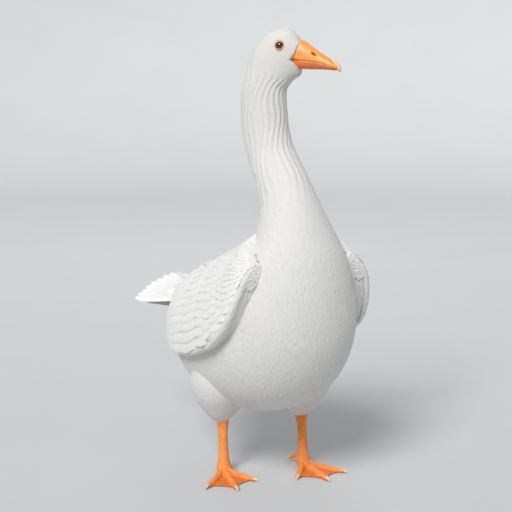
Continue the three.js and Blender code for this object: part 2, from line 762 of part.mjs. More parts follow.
function hindClawSolid(outward, grow = 0) {
  const shares = [0.84, 1.04, 1.2, 1.3];
  const heights = [11, 8.6, 6, 4];
  return tubeSolid(
    shares.map((share, i) => hindPoint(outward, share, heights[i])),
    [1, 0.9, 0.6, 0.2].map((share) => share * 2.5 + grow),
    [1, 0.9, 0.6, 0.2].map((share) => share * 2.5 + grow),
    8,
  );
}

function slab(low, high) {
  const block = new THREE.BoxGeometry(400, 400, high - low);
  return solidOf(block.translate(0, 0, (low + high) / 2));
}

// One leg and foot. Outward is 1 where the outer side is the goose's left.
function legParts(name, outward) {
  const claws = Object.entries(TOES).map(([toe, size]) => ({
    toe,
    solid: clawSolid(size, outward),
    grown: clawSolid(size, outward, GAP),
  }));
  claws.push({ toe: "hind", solid: hindClawSolid(outward), grown: hindClawSolid(outward, GAP) });
  const toes = Object.values(TOES).map((toe) => toeSolid(toe, outward));
  const { inner, middle, outer } = TOES;
  const webs = [webSolid(inner, middle, outward), webSolid(middle, outer, outward)];
  const leg = joined([tarsusSolid(), ...toes, ...webs, hindToeSolid(outward)]);
  const whole = leg.subtract(slab(-60, 0));
  const foot = whole.subtract(joined([slab(FOOT_CUT, 300), ...claws.map(({ grown }) => grown)]));
  return [
    meshOf(`tarsus_${name}`, whole.intersect(slab(FOOT_CUT + GAP, 300)), MATERIALS.leg),
    meshOf(`foot_${name}`, foot, MATERIALS.leg),
    ...claws.map(({ toe, solid }) => meshOf(`claw_${name}_${toe}`, solid, MATERIALS.claw)),
  ];
}

// ---- Assembly ----

const goose = new THREE.Group();
goose.add(meshOf("torso", torsoSolid(), MATERIALS.plumage));
goose.add(meshOf("neck_lower", lowerNeckSolid(), MATERIALS.plumage));
goose.add(meshOf("neck_upper", upperNeckSolid(), MATERIALS.plumage));
goose.add(meshOf("tail", tailSolid(), MATERIALS.plumage));

const head = new THREE.Group();
const neckAxis = at(0, HEAD_AXIS_FORE, 0);
head.position.copy(neckAxis);
head.rotation.z = HEAD_TURN;
for (const part of headParts()) {
  part.position.copy(neckAxis).negate();
  head.add(part);
}
goose.add(head);

for (const [name, side] of [["left", 1], ["right", -1]]) {
  goose.add(meshOf(`wing_${name}`, wingSolid(side), MATERIALS.plumage));
  const leg = new THREE.Group();
  leg.position.copy(at(side * LEG_APART[name], LEG_FORE[name], 0));
  leg.rotation.z = THREE.MathUtils.degToRad(FOOT_TURN[name]);
  for (const part of legParts(name, side)) leg.add(part);
  goose.add(leg);
  leg.updateMatrixWorld(true);
  const tarsusGrown = tarsusSolid(GAP).transform(leg.matrixWorld.elements);
  const flesh = thighSolid(side, LEG_APART[name], LEG_FORE[name] - 8);
  const thigh = flesh.subtract(joined([torsoGrown, tarsusGrown]));
  goose.add(meshOf(`thigh_${name}`, thigh, MATERIALS.plumage));
}

export default goose;
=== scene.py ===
"""A white domestic goose, life size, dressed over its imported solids.

Shapes are worked out in millimetres and become metres when a mesh is made. +Z is up, the goose
faces -Y and its left side is +X. "Fore" runs forward in the stance, "up" from the floor, and
angles run from the top of a section over the goose's left.
"""
import math

import bpy
import numpy as np
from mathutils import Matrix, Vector


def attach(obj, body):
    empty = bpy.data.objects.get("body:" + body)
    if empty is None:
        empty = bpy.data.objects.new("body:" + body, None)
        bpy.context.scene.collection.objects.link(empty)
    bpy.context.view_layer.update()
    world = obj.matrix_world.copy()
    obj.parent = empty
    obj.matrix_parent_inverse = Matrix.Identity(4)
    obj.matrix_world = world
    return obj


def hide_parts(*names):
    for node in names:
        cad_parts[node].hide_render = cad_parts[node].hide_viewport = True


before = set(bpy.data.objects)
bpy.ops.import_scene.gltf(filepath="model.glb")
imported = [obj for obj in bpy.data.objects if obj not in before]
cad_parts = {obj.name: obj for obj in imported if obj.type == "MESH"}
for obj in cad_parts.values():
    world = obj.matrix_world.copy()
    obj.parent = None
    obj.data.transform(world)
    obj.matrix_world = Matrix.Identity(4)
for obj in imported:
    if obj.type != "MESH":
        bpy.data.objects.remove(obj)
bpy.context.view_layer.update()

MM = 0.001
TURN = 2 * np.pi
FULL = (0.0, TURN)
SIDES = {"left": 1, "right": -1}
BOX_FORE = -115.0  # where the middle of the goose's box lies in the stance
HEAD_TURN = math.radians(40)
HEAD_AXIS_FORE = -6.0
HIP_APART = 76.0
LEG_APART = {"right": 76.0, "left": 90.0}
LEG_FORE = {"right": -50.0, "left": -8.0}
THIGH_BACK = 8  # how far the thigh lies behind the leg
FOOT_TURN = {"right": -14.0, "left": -3.0}
HOCK = 113.0
BILL_ROOT = (64.0, 851.0)
PITCH_COS, PITCH_SIN = math.cos(math.radians(8)), math.sin(math.radians(8))
EYE = {"section": 22.85, "angle": 1.35, "depth": 5.4, "radius": 9.2}
EYE_OPENING = math.sqrt(EYE["radius"] ** 2 - EYE["depth"] ** 2)
LID_CLEAR = 8.6  # from the middle of an eye to the first feathers

# Top point (fore, up), bottom point (fore, up), half width, where it is widest, power of outline.
BODY = np.array([
    [-278, 370, -280, 326, 26, 0.5, 2], [-254, 387, -272, 282, 62, 0.5, 2],
    [-204, 406, -244, 218, 100, 0.46, 2.05], [-142, 428, -180, 162, 129, 0.45, 2.1],
    [-76, 448, -92, 143, 143, 0.44, 2.15], [-20, 468, 2, 142, 148, 0.45, 2.15],
    [14, 480, 90, 168, 145, 0.46, 2.1], [30, 486, 153, 220, 134, 0.47, 2.05],
    [36, 489, 190, 296, 123, 0.48, 2], [38, 492, 198, 380, 109, 0.5, 2],
    [36, 498, 188, 459, 95, 0.5, 2], [32, 507, 163, 524, 77, 0.5, 2],
    [25, 523, 135, 573, 63, 0.5, 2], [10, 554, 103, 611, 53, 0.5, 2],
    [-15, 596, 71, 645, 48.5, 0.5, 2], [-39, 640, 48, 674, 45.5, 0.5, 2],
    [-54, 684, 37, 705, 43, 0.5, 2], [-59, 729, 33, 735, 41, 0.5, 2],
    [-58, 773, 31, 762, 39, 0.5, 2], [-52, 807, 32, 783, 37, 0.5, 2],
    [-43, 839, 40, 794, 35, 0.52, 2.05], [-29, 867, 47, 801, 33.5, 0.55, 2.1],
    [-6, 888, 53, 805, 32, 0.56, 2.15], [17, 898, 58, 808, 30.5, 0.56, 2.15],
    [37, 899, 63, 812, 26.5, 0.54, 2.15], [53, 889, 69, 817, 22, 0.5, 2.15],
    [64, 874, 73, 822, 19.5, 0.45, 2.1], [69, 863, 76, 828, 16, 0.45, 2],
], float)
NECK_FROM, NAPE, BILL_FROM = 11.5, 19.0, 22.6  # places along the body
FURROWS = {"high": 0.9, "count": 24}
WING_SHELL = np.array([
    [-322, 338, -312, 214, 80, 0.5, 2], [-262, 378, -262, 180, 104, 0.5, 2],
    [-205, 414, -222, 158, 126, 0.5, 2.1], [-140, 438, -160, 140, 147, 0.48, 2.15],
    [-76, 461, -90, 126, 162, 0.47, 2.2], [-20, 483, 0, 124, 171, 0.47, 2.2],
    [18, 499, 84, 146, 173, 0.47, 2.2], [44, 512, 152, 198, 167, 0.48, 2.15],
    [60, 521, 196, 282, 154, 0.5, 2.1], [68, 526, 214, 372, 134, 0.5, 2],
    [72, 530, 214, 440, 113, 0.5, 2],
], float)
# Section of the shell, upper edge, lower edge (degrees from the top of the back).
WING_OUTLINE = np.array([
    [0.7, 56, 96], [1, 43, 101], [1.5, 31, 106], [2.2, 21, 108], [3, 14, 107], [4, 10, 103],
    [5, 9, 99], [6, 11, 96], [7, 20, 94], [8, 34, 92], [8.7, 47, 88], [9.1, 58, 82], [9.3, 66, 75],
], float)
WING_FRONT, WING_SECTIONS, FRONT_LONG, FRONT_SINK = 9.28, 9.4, 0.9, 30
# Where the wing's surface turns under and for how long, in shares of its height, the radius of
# that turn, and about how far the shell lies from the middle of the body.
LOW_LINE, HIGH_LINE, EDGE_LINES, EDGE_RADIUS, SHELL_RADIUS = 0.06, 0.94, 0.055, 9, 150
# Above the shell, depth and half angle of the groove along the back, how far the front runs in,
# how much further between the wings, and the angle where that ends.
MANTLE = {"over": 1.5, "hollow": 7, "groove": 0.16, "front": 34, "at_neck": 14, "neck": 1.22}
TAIL = {"fore": -236.0, "up": 337.0, "spread": math.radians(34), "rise": math.radians(1),
        "long": 190.0, "slope": 0.3, "ridge": 30.0, "root_half": 26, "curl": 10}
# The rump and the root of the tail, in rows like the body's.
RUMP = np.array([
    [-120, 430, -130, 250, 118, 0.5, 2], [-180, 413, -190, 244, 104, 0.5, 2],
    [-226, 399, -234, 244, 86, 0.5, 2], [-256, 387, -260, 254, 74, 0.5, 2],
    [-284, 374, -288, 268, 64, 0.52, 2], [-308, 363, -312, 284, 56, 0.56, 2],
    [-334, 353, -338, 300, 48, 0.6, 2], [-358, 346, -362, 316, 38, 0.6, 2],
    [-380, 342, -382, 330, 26, 0.6, 2],
], float)
# Out from the leg's line, ahead, up, half width across, half width along.
THIGH = np.array([
    [-8, 16, 300, 46, 70], [-2, 11, 244, 57, 77], [3, 6, 204, 60, 74], [4, 1, 174, 55, 66],
    [3, -3, 149, 44, 51], [1.5, -5, 129, 31, 36], [0, -6, 115, 18, 20],
], float)
# Ahead of the bill's root, top, bottom, half width, widest, power.
UPPER_BILL = np.array([
    [-34, 20, -14, 17, 0.25, 2.2], [-14, 27, -13.5, 20, 0.16, 2.2], [2, 25, -14, 18.8, 0.14, 2.1],
    [16, 18.5, -13, 16.9, 0.14, 2.1], [32, 10, -12.6, 14.8, 0.16, 2.1],
    [48, 3, -14, 13.6, 0.2, 2.1], [61, -2.4, -17, 12.8, 0.25, 2.1],
    [71, -6.6, -19.6, 10.8, 0.35, 2], [77.5, -10.6, -20.4, 6.8, 0.45, 2],
    [80, -14, -19.4, 2.6, 0.5, 2],
], float)
LOWER_BILL = np.array([
    [-30, -6, -24, 12, 0.6, 2.2], [-14, -4, -26.5, 15.6, 0.6, 2.2], [2, -4, -28, 15.6, 0.55, 2.2],
    [18, -4, -27, 14.2, 0.55, 2.2], [36, -5, -24.6, 12.4, 0.6, 2.2],
    [54, -8, -22.6, 11.2, 0.65, 2.2], [66, -12, -22, 9, 0.65, 2.1], [73, -15, -21.4, 5.4, 0.6, 2],
], float)
BILL_NAIL = np.array([
    [60, -2.6, -11, 4, 0.5, 2], [64, -2.4, -14, 7, 0.5, 2], [70, -4.6, -17.5, 8.6, 0.5, 2],
    [75.5, -7.9, -21.4, 8, 0.5, 2], [80, -12.6, -23, 5.4, 0.5, 2], [82.2, -16.6, -21.8, 2, 0.5, 2],
], float)
# The edge of the face feathers on the bill, from below: up, and how far ahead.
FACE_EDGE = ([-40, -26, -18, -13.5, -10, 0, 12, 24, 40], [4, 0, -8, -15, -13, -7, -5, 1, 6])
# The step back at that edge: how far before it, how soft, how far past it roots are kept.
FACE_STEP = {"before": 0.6, "soft": 1.6, "reach": 14.0}
NOSTRIL = {"ahead": 27.0, "up": 3.2, "long": 6.0, "high": 2.3, "deep": 3.4, "tilt": 0.42}
# Up, set back, half width across, half width along.
TARSUS = np.array([
    [HOCK + 26, 13, 8, 9.5], [HOCK + 11, 12.5, 11.4, 13], [HOCK, 12, 13.4, 14.8],
    [HOCK - 11, 11, 11.8, 13.6], [HOCK - 25, 9.2, 9.9, 11.3], [72, 7.6, 9.6, 11],
    [55, 5.6, 9.8, 11], [41, 4, 10.6, 11.6], [28, 2.4, 12.4, 12.4], [17, 0.5, 15, 13.5],
    [8, 0, 15.5, 13.5], [-2, 0.5, 12.5, 11],
], float)
TOES = {"inner": (-38.0, 78.0, 6.6), "middle": (0.0, 100.0, 7.4), "outer": (36.0, 92.0, 6.8)}
CLAW = {"long": 13.0, "half": 3.2, "high": 3.6}
HIND_TOE = {"up": 24.0, "long": 25.0, "half": 4.4}
# Points along a side, share of the toes it reaches, share of that in the middle of its edge.
WEB = {"steps": 26, "reach": 0.9, "hollow": 0.86, "up": 2.6, "half_thick": 1.25}
# Teeth along the mouth: first, last and how far apart; radius and half height.
LAMELLAE = {"places": (4.0, 64.0, 2.1), "half": 0.7, "high": 1.5}

# Places along the body and the size there of the feathers' spacing and of the whole coat.
BODY_SPACING = ([0, 3, 6, 9, 11, 13, 16, 19, 21, 23, 25, 27],
                [11, 10, 8.2, 6.6, 5.6, 4.7, 3.8, 3.1, 2.5, 2.1, 1.8, 1.6])
COAT_DEPTH = ([0, 11, 14, 19, 21, 23, 27], [4.8, 4.2, 3.4, 2.4, 1.7, 1.3, 1.1])
ROOT_SHARE = 0.33
BAKE_PATCH = 0.003
FLESH_DEPTH = 4.0
# Outlines of feathers: places along one, share of its half width there.
CONTOUR = ([0, 0.25, 0.55, 0.8, 1], [0.4, 0.78, 1, 0.96, 0.62])
QUILL = ([0, 0.2, 0.6, 0.85, 0.95, 1], [0.5, 0.85, 1, 0.97, 0.8, 0.5])
TUCKED = ([0, 0.25, 0.55, 0.8, 1], [0.12, 0.66, 1, 0.96, 0.6])
SOFT = ([0, 0.25, 0.55, 0.8, 1], [0.4, 0.8, 1, 0.95, 0.6])
SMALL = {"settle": 1.9, "outline": SOFT}
LONG = {"outline": QUILL, "thick": 0.9}
SHORT = {"thick": 0.6, "camber": 0.07}
# Count, sections of the roots and of the tips at the wing's lower and upper edge, lines of the
# first and the last feather, half width, form.
WING_TIERS = [
    (7, (3.7, 3.1), (1.5, 0.78), (0.1, 0.56), 16,
     {"depth": 8, "top": -2.5, "camber": 0.05, **LONG}),
    (13, (4.6, 4.2), (2.65, 1.2), (0.105, 0.93), 17.5,
     {"depth": 7, "top": -0.4, "camber": 0.06, **LONG}),
    (14, (5.9, 5.4), (4.1, 3.2), (0.1, 0.92), 16, {"depth": 6, "top": 0.8, **SHORT}),
    (15, (6.9, 6.5), (5.3, 4.6), (0.095, 0.92), 15,
     {"depth": 6, "top": 1.1, "rows": 8, "columns": 6, **SHORT}),
]
# Section of the tips at the wing's lower and upper edge, half width of a feather.
LESSER_COVERTS = [(5.9, 5.3, 14), (6.4, 5.9, 13), (6.85, 6.45, 12), (7.25, 6.9, 11),
                  (7.6, 7.3, 10), (7.92, 7.65, 9), (8.2, 8.0, 8), (8.45, 8.3, 7.5),
                  (8.68, 8.55, 7), (8.88, 8.78, 6.5)]
# Count, spread, start, end, half width, height of roots and tips, share lost at the sides.
TAIL_TIERS = [(16, 1.0, 24, TAIL["long"], 16, 6, 6, 0.0), (13, 0.9, 62, 158, 13, 8, 2.5, 0.7),
              (11, 0.8, 56, 134, 12, 14, 6, 0.8), (12, 0.9, 62, 164, 14, -16, -5, 0.5),
              (11, 0.8, 56, 146, 14, -30, -11, 0.5)]


# ---- Small tools ----

def smooth(x):
    x = np.clip(x, 0, 1)
    return x * x * (3 - 2 * x)


def quarter(x):
    """How far a round edge has dropped, 0 to 1, from its start (x = 0) to its end (x = 1)."""
    return 1 - np.sqrt(1 - np.clip(x, 0, 1) ** 2)


def mix(a, b, f):
    return a + (b - a) * f


def norm(v):
    return np.linalg.norm(v, axis=-1)


def unit(v):
    return v / np.maximum(norm(v), 1e-9)[..., None]


def dot(a, b):
    return (a * b).sum(-1)


def path_length(points):
    return norm(np.diff(points, axis=-2)).sum(-1)


def stacked(*parts):
    return np.stack(np.broadcast_arrays(*parts), -1)


def around(count):
    return np.linspace(0, TURN, count, endpoint=False)


def grid(u, v):
    return np.meshgrid(u, v, indexing="ij")


def split(rows):
    """The numbers of rows, each as an array of its own."""
    return np.moveaxis(rows, -1, 0)


def row_at(rows, s):
    """The row at place s on a Catmull-Rom spline through rows, straight on beyond its ends."""
    s = np.asarray(s, float)
    inside = np.clip(s, 0, len(rows) - 1)
    padded = np.vstack([2 * rows[0] - rows[1], rows, 2 * rows[-1] - rows[-2]])
    i = np.clip(np.floor(inside).astype(int), 0, len(rows) - 2)
    f = (inside - i)[..., None]
    before, here, after, beyond = (padded[i + k] for k in range(4))
    out, inward = (after - before) / 2, (beyond - here) / 2
    square = 3 * (after - here) - 2 * out - inward
    cube = 2 * (here - after) + out + inward
    value = here + f * (out + f * (square + f * cube))
    slope = np.where((s < 0)[..., None], rows[1] - rows[0], rows[-1] - rows[-2])
    return value + (s - inside)[..., None] * slope


def section_point(row, angle, grow=0.0):
    """Left, fore and up of a point of a cross-section."""
    top_fore, top_up, low_fore, low_up, half, widest, power = split(row)
    more = grow / np.hypot(top_fore - low_fore, top_up - low_up)
    c, s = np.cos(angle), np.sin(angle)
    share = mix(widest, np.where(c > 0, 1 + more, -more), np.abs(c) ** (2 / power))
    across = (half + grow) * np.sign(s) * np.abs(s) ** (2 / power)
    return across, mix(low_fore, top_fore, share), mix(low_up, top_up, share)


def at(left, fore, up):
    return stacked(left, BOX_FORE - fore, up)


def turned(left, fore, up, angle):
    """The same, turned about the upright axis of the head."""
    ahead = fore - HEAD_AXIS_FORE
    c, s = np.cos(angle), np.sin(angle)
    return at(left * c + ahead * s, HEAD_AXIS_FORE + ahead * c - left * s, up)


def linked(name, data):
    obj = bpy.data.objects.new(name, data)
    bpy.context.scene.collection.objects.link(obj)
    return obj


def mesh_object(name, points, faces):
    """An object from points in millimetres and lists of faces."""
    mesh = bpy.data.meshes.new(name)
    mesh.from_pydata((np.asarray(points) * MM).tolist(), [], faces)
    mesh.validate()
    mesh.shade_smooth()
    return linked(name, mesh)


def ring_faces(count, sides, closed=False):
    """Quads between neighbouring rings, and from the last ring to the first one if closed."""
    i, j = (m.ravel() for m in grid(np.arange(count - (not closed)), np.arange(sides)))
    k, after = (j + 1) % sides, (i + 1) % count
    i, after = i * sides, after * sides
    return stacked(i + j, i + k, after + k, after + j).tolist()


def loft(rings):
    """Points and faces of a closed solid through an array of rings (ring, side, 3)."""
    count, sides = rings.shape[:2]
    points = np.vstack([rings.reshape(-1, 3), rings[0].mean(0), rings[-1].mean(0)])
    j = np.arange(sides)
    k = (j + 1) % sides
    end, first = (count - 1) * sides, count * sides
    caps = np.vstack([stacked(first, k, j), stacked(first + 1, end + j, end + k)])
    return points, ring_faces(count, sides) + caps.tolist()


def facing_out(points, faces):
    """The same faces, turned so that the closed solid has a positive volume."""
    corners = [(f[0], f[k], f[k + 1]) for f in faces for k in range(1, len(f) - 1)]
    a, b, c = np.moveaxis(points[np.array(corners)], 1, 0)
    return faces if (a * np.cross(b, c)).sum() > 0 else [face[::-1] for face in faces]


def merged(parts):
    points, faces = [], []
    start = 0
    for part_points, part_faces in parts:
        faces += [[start + i for i in face] for face in facing_out(part_points, part_faces)]
        points.append(part_points)
        start += len(part_points)
    return np.vstack(points), faces


# ---- Surfaces that the feathers follow ----

class Surface:
    """place(a, b) gives points; the lie runs up or down a; the sign turns its normal out."""

    def __init__(self, place, lie, sign, step, unwrap):
        self.place, self.lie, self.sign, self.step, self.unwrap = place, lie, sign, step, unwrap

    def frame(self, a, b):
        da, db = self.step
        along = (self.place(a + da, b) - self.place(a - da, b)) / (2 * da)
        across = (self.place(a, b + db) - self.place(a, b - db)) / (2 * db)
        return along, across, unit(np.cross(along, across) * self.sign)


def in_surface(along, across, offset):
    """How far a and b change for a small offset along the surface."""
    e, f, g = dot(along, along), dot(along, across), dot(across, across)
    ra, rb = dot(along, offset), dot(across, offset)
    det = np.maximum(e * g - f * f, 0.02 * e * g + 1e-9)
    return (g * ra - f * rb) / det, (e * rb - f * ra) / det


def furrow(s, angle):
    """Low ridges that run along the neck."""
    strength = FURROWS["high"] * smooth((s - NECK_FROM) / 2.5) * smooth((21 - s) / 2)
    return strength * np.cos(FURROWS["count"] * angle + 2.2 * np.sin(1.7 * s + 2 * np.cos(angle)))


def body_point(s, angle, grow):
    return section_point(row_at(BODY, s), angle, grow + furrow(s, angle))


def head_turn(s):
    return HEAD_TURN * smooth((s - NECK_FROM) / (NAPE - NECK_FROM))


def body(s, angle, grow=0.0):
    return turned(*body_point(s, angle, grow), head_turn(s))


def past_face_edge(s, angle, grow=0.0):
    """How far a point of the head lies ahead of the edge of the face feathers."""
    _, fore, up = section_point(row_at(BODY, s), angle, grow)
    f, u = fore - BILL_ROOT[0], up - BILL_ROOT[1]
    return f * PITCH_COS - u * PITCH_SIN - np.interp(f * PITCH_SIN + u * PITCH_COS, *FACE_EDGE)


def cut_at_bill(s, angle, grow=0.0):
    """The body's surface with a soft step back at the edge of the face feathers."""
    past = past_face_edge(s, angle, grow) + FACE_STEP["before"]
    back = (past + np.hypot(past, FACE_STEP["soft"])) / 2 * smooth((s - BILL_FROM) / 0.8)
    left, fore, up = body_point(s, angle, grow)
    return turned(left, fore - back * PITCH_COS, up + back * PITCH_SIN, head_turn(s))


def wing_lines(section):
    """Degrees from the top of the back to the wing's upper and lower edge."""
    first = WING_OUTLINE[:, 0]
    i = np.clip(np.searchsorted(first, section, side="left") - 1, 0, len(first) - 2)
    f = np.clip((section - first[i]) / (first[i + 1] - first[i]), 0, 1)
    return split(row_at(WING_OUTLINE, i + f)[..., 1:])


def front_drop(section):
    """How far the wings' front has rounded in, 0 to 1."""
    return quarter(1 - (WING_FRONT - section) / FRONT_LONG)


def high_share(section):
    """How much of the turn the wing's upper edge has, none behind and all of it in front."""
    return smooth((section - 6.6) / 1.2)


def wing_edge(section, line):
    """How deep the wing's edges lie under its shell, and how far they turn round its section.

    The front runs down to the breast. Below LOW_LINE, and in front above HIGH_LINE, the surface
    turns under the wing.
    """
    sink, out = FRONT_SINK * front_drop(section), 0.0
    for way, beyond, share in ((1, LOW_LINE - line, smooth((section - 1.2) / 2)),
                               (-1, line - HIGH_LINE, high_share(section))):
        radius = EDGE_RADIUS * share
        under = np.maximum(beyond, 0) / EDGE_LINES
        turn = np.minimum(under, 1) * np.pi / 2
        sink = sink + radius * (1 - np.cos(turn) + np.maximum(under - 1, 0) * np.pi / 2)
        out = out + way * radius * np.sin(turn) / SHELL_RADIUS
    return sink, out


def shell(section, angle, grow):
    return at(*section_point(row_at(WING_SHELL, section), angle, grow))


def wing(side, section, line):
    high, low = wing_lines(section)
    sink, out = wing_edge(section, line)
    top = mix(1.0, HIGH_LINE, high_share(section))
    angle = np.radians(mix(low, high, np.clip(line, LOW_LINE, top))) + out
    return shell(section, angle, -sink) * [side, 1, 1]


def mantle(section, angle):
    """The back between the wings and over their upper edges, down to the base of the neck."""
    m = MANTLE
    hollow = m["hollow"] * np.exp(-(angle / m["groove"]) ** 2) * smooth((7 - section) / 2)
    sink = m["front"] + m["at_neck"] * smooth((m["neck"] - np.abs(angle)) / 0.35)
    return shell(section, angle, m["over"] - hollow - sink * front_drop(section))


def thigh(name, k, angle, grow=0.0):
    out, ahead, up, across, along = split(row_at(THIGH, k))
    hip = mix(HIP_APART, LEG_APART[name], k / (len(THIGH) - 1))
    left = SIDES[name] * (hip + out) + (across + grow) * np.sin(angle)
    return at(left, LEG_FORE[name] - THIGH_BACK + ahead + (along + grow) * np.cos(angle), up)


def tail_fan(along, place):
    out = place * TAIL["spread"]
    left = place * TAIL["root_half"] + along * np.sin(out)
    ridged = np.hypot(left, TAIL["ridge"])
    fore = TAIL["fore"] - along * np.cos(out) * math.cos(TAIL["rise"])
    curl = TAIL["curl"] * (np.maximum(along, 0) / TAIL["long"]) ** 2
    lift = along * math.sin(TAIL["rise"]) + curl
    return at(left, fore, TAIL["up"] + lift - TAIL["slope"] * (ridged - TAIL["ridge"]))


def rump(k, angle, grow=0.0):
    return at(*section_point(row_at(RUMP, k), angle, grow))


def inset(share):
    """A share of the map's width, drawn in from its edges."""
    return 0.02 + 0.96 * share


def round_unwrap(length):
    """Lays a closed surface with a number of rows out flat."""
    return lambda a, b: stacked(inset((b / TURN) % 1), inset(a / length))


FINE = (0.01, 0.01)
BODY_SURFACE = Surface(body, -1, 1, FINE, round_unwrap(27))
FACE_SURFACE = Surface(cut_at_bill, -1, 1, FINE, round_unwrap(27))
RUMP_SURFACE = Surface(rump, 1, -1, FINE, round_unwrap(9))
MANTLE_SURFACE = Surface(mantle, -1, 1, FINE,
                         lambda a, b: stacked(0.5 + b / 2.8, inset(a / WING_SECTIONS)))
FAN_SURFACE = Surface(tail_fan, 1, -1, (0.5, 0.004), lambda a, b: stacked(
    0.5 + 0.46 * b, 0.05 + 0.9 * np.clip(a, 0, 200) / 200))


def wing_surface(side):
    return Surface(lambda a, b: wing(side, a, b), -1, -side, (0.01, 0.004),
                   lambda a, b: stacked(inset(a / WING_SECTIONS), inset(np.clip(b, 0, 1))))


def thigh_surface(name):
    return Surface(lambda a, b: thigh(name, a, b), 1, 1, FINE, round_unwrap(6.5))


# ---- Vanes ----

class Coat:
    """One mesh of thin closed vanes."""

    def __init__(self, name):
        self.name, self.start, self.parts = name, 0, []

    def add(self, points, quads, rim, bake, vane, tone):
        """Arrays for n vanes alike: points (n, m, 3), quads (q, 4), rim (m,), maps (n, m, 2)."""
        n, m = points.shape[:2]
        base = self.start + m * np.arange(n)[:, None, None]
        self.parts.append((points.reshape(-1, 3), (quads + base).reshape(-1, 4), np.tile(rim, n),
                           bake.reshape(-1, 2), vane.reshape(-1, 2), np.repeat(tone, m)))
        self.start += n * m

    def build(self):
        points, quads, rim, bake, vane, tone = (np.concatenate(m) for m in zip(*self.parts))
        mesh = bpy.data.meshes.new(self.name)
        mesh.vertices.add(len(points))
        mesh.vertices.foreach_set("co", (points * MM).ravel())
        mesh.loops.add(quads.size)
        mesh.loops.foreach_set("vertex_index", quads.ravel())
        mesh.polygons.add(len(quads))
        mesh.polygons.foreach_set("loop_start", np.arange(0, quads.size, 4))
        mesh.shade_smooth()
        mesh.update(calc_edges=True)
        for map_name, values in (("OFBake", bake), ("Vane", vane)):
            layer = mesh.uv_layers.new(name=map_name)
            layer.data.foreach_set("uv", values[quads.ravel()].ravel())
        mesh.attributes.new("tone", "FLOAT", "POINT").data.foreach_set("value", tone)
        ends = np.empty(len(mesh.edges) * 2, int)
        mesh.edges.foreach_get("vertices", ends)
        sharp = mesh.attributes.new("sharp_edge", "BOOLEAN", "EDGE")
        sharp.data.foreach_set("value", rim[ends.reshape(-1, 2)].all(axis=1))
        dress(linked(self.name, mesh), "plumage")


def vane_grid(rows, columns):
    """Quads and rim of a closed vane: its upper grid, then the inner points of its lower one."""
    top = np.arange((rows + 1) * (columns + 1)).reshape(rows + 1, columns + 1)
    low = top.copy()
    inner = (rows - 1) * (columns - 1)
    low[1:-1, 1:-1] = top.size + np.arange(inner).reshape(rows - 1, columns - 1)
    rim = np.ones(top.size + inner, bool)
    rim[top[1:-1, 1:-1]] = rim[top.size:] = False
    upper, lower = (stacked(m[:-1, :-1], m[1:, :-1], m[1:, 1:], m[:-1, 1:]).reshape(-1, 4)
                    for m in (top, low))
    return np.vstack([upper, lower[:, ::-1]]), rim


def steps_along(rows):
    """Places along a vane, closer together towards its rounded tip."""
    return 1 - (1 - np.linspace(0, 1, rows + 1)) ** 1.35


def lay(coat, surface, a, b, half, long, tone, *, outline=CONTOUR, columns=2, depth=5.0, top=0.4,
        camber=0.1, tilt=0.0, droop=0.0, thick=0.5, round_tip=1.0, settle=2.8, fringe=None,
        lifted=0.0):
    """Lays vanes whose middle lines run through the places a, b (n, rows + 1) of a surface."""
    n, count = a.shape
    t = steps_along(count - 1)
    half, long, tilt, depth, lifted = (np.broadcast_to(m, (n,))[:, None]
                                       for m in (half, long, tilt, depth, lifted))
    middle = surface.place(a, b)
    pa, pb, normal = surface.frame(a, b)
    along = unit(np.gradient(middle, axis=1))
    side = unit(np.cross(normal, along))
    u = np.linspace(-1, 1, columns + 1)
    width = half * np.interp(t, *outline)
    back = (1 - np.sqrt(1 - (0.97 * u) ** 2)) * round_tip * (t ** 3)[:, None]
    if fringe is not None:
        back = back + fringe[:, None, :] * (t ** 4)[:, None]
    offset = (side[:, :, None] * (u * width[..., None])[..., None]
              - along[:, :, None] * (half[..., None] * back)[..., None])
    da, db = in_surface(pa[:, :, None], pb[:, :, None], offset)
    wrapped = surface.place(a[:, :, None] + da, b[:, :, None] + db)
    straight = middle[:, :, None] + offset
    lost = norm(wrapped - straight) > 0.6 * norm(offset) + 1.0
    points = np.where(lost[..., None], straight, wrapped)
    rise = 1 - (1 - t) ** settle
    height = -depth + (depth + top) * rise - droop * np.clip((t - 0.75) / 0.25, 0, 1) ** 2
    height = (height + lifted)[..., None] - camber * half[..., None] * u ** 2
    height = height + (tilt * half)[..., None] * u * (0.3 + 0.7 * t)[:, None]
    points = points + normal[:, :, None] * height[..., None]
    swell = thick / 2 * np.sqrt(1 - u ** 2) * (1 - 0.5 * t)[:, None]
    swell[0] = swell[-1] = 0
    lift = normal[:, :, None] * swell[..., None]
    root = surface.unwrap(a[:, 0], b[:, 0])
    patch = BAKE_PATCH * stacked(u / 2, t[:, None])
    vane = stacked(u * width[..., None], (long * t)[..., None])

    def closed(upper, lower):
        """The upper grid of each vane, then the inner points of its lower one."""
        parts = (upper, lower[:, 1:-1, 1:-1])
        return np.concatenate([m.reshape(n, -1, m.shape[-1]) for m in parts], 1)

    coat.add(closed(points + lift, points - lift), *vane_grid(count - 1, columns),
             *(closed(m, m) for m in (root[:, None, None] + patch, vane)), tone)


def march(surface, a, b, long, rows, yaw):
    """Middle lines that start at a, b and follow the lie for a length."""
    line_a, line_b = [a], [b]
    for share in np.diff(steps_along(rows)):
        pa, pb, normal = surface.frame(a, b)
        lie = unit(surface.lie * pa)
        ahead = lie * np.cos(yaw)[:, None] + np.cross(normal, lie) * np.sin(yaw)[:, None]
        da, db = in_surface(pa, pb, ahead)
        a = a + np.clip(da * long * share, -0.25, 0.25)
        b = b + np.clip(db * long * share, -0.35, 0.35)
        line_a.append(a)
        line_b.append(b)
    return np.stack(line_a, 1), np.stack(line_b, 1)


def everywhere(a, b):
    return np.ones(a.shape, bool)


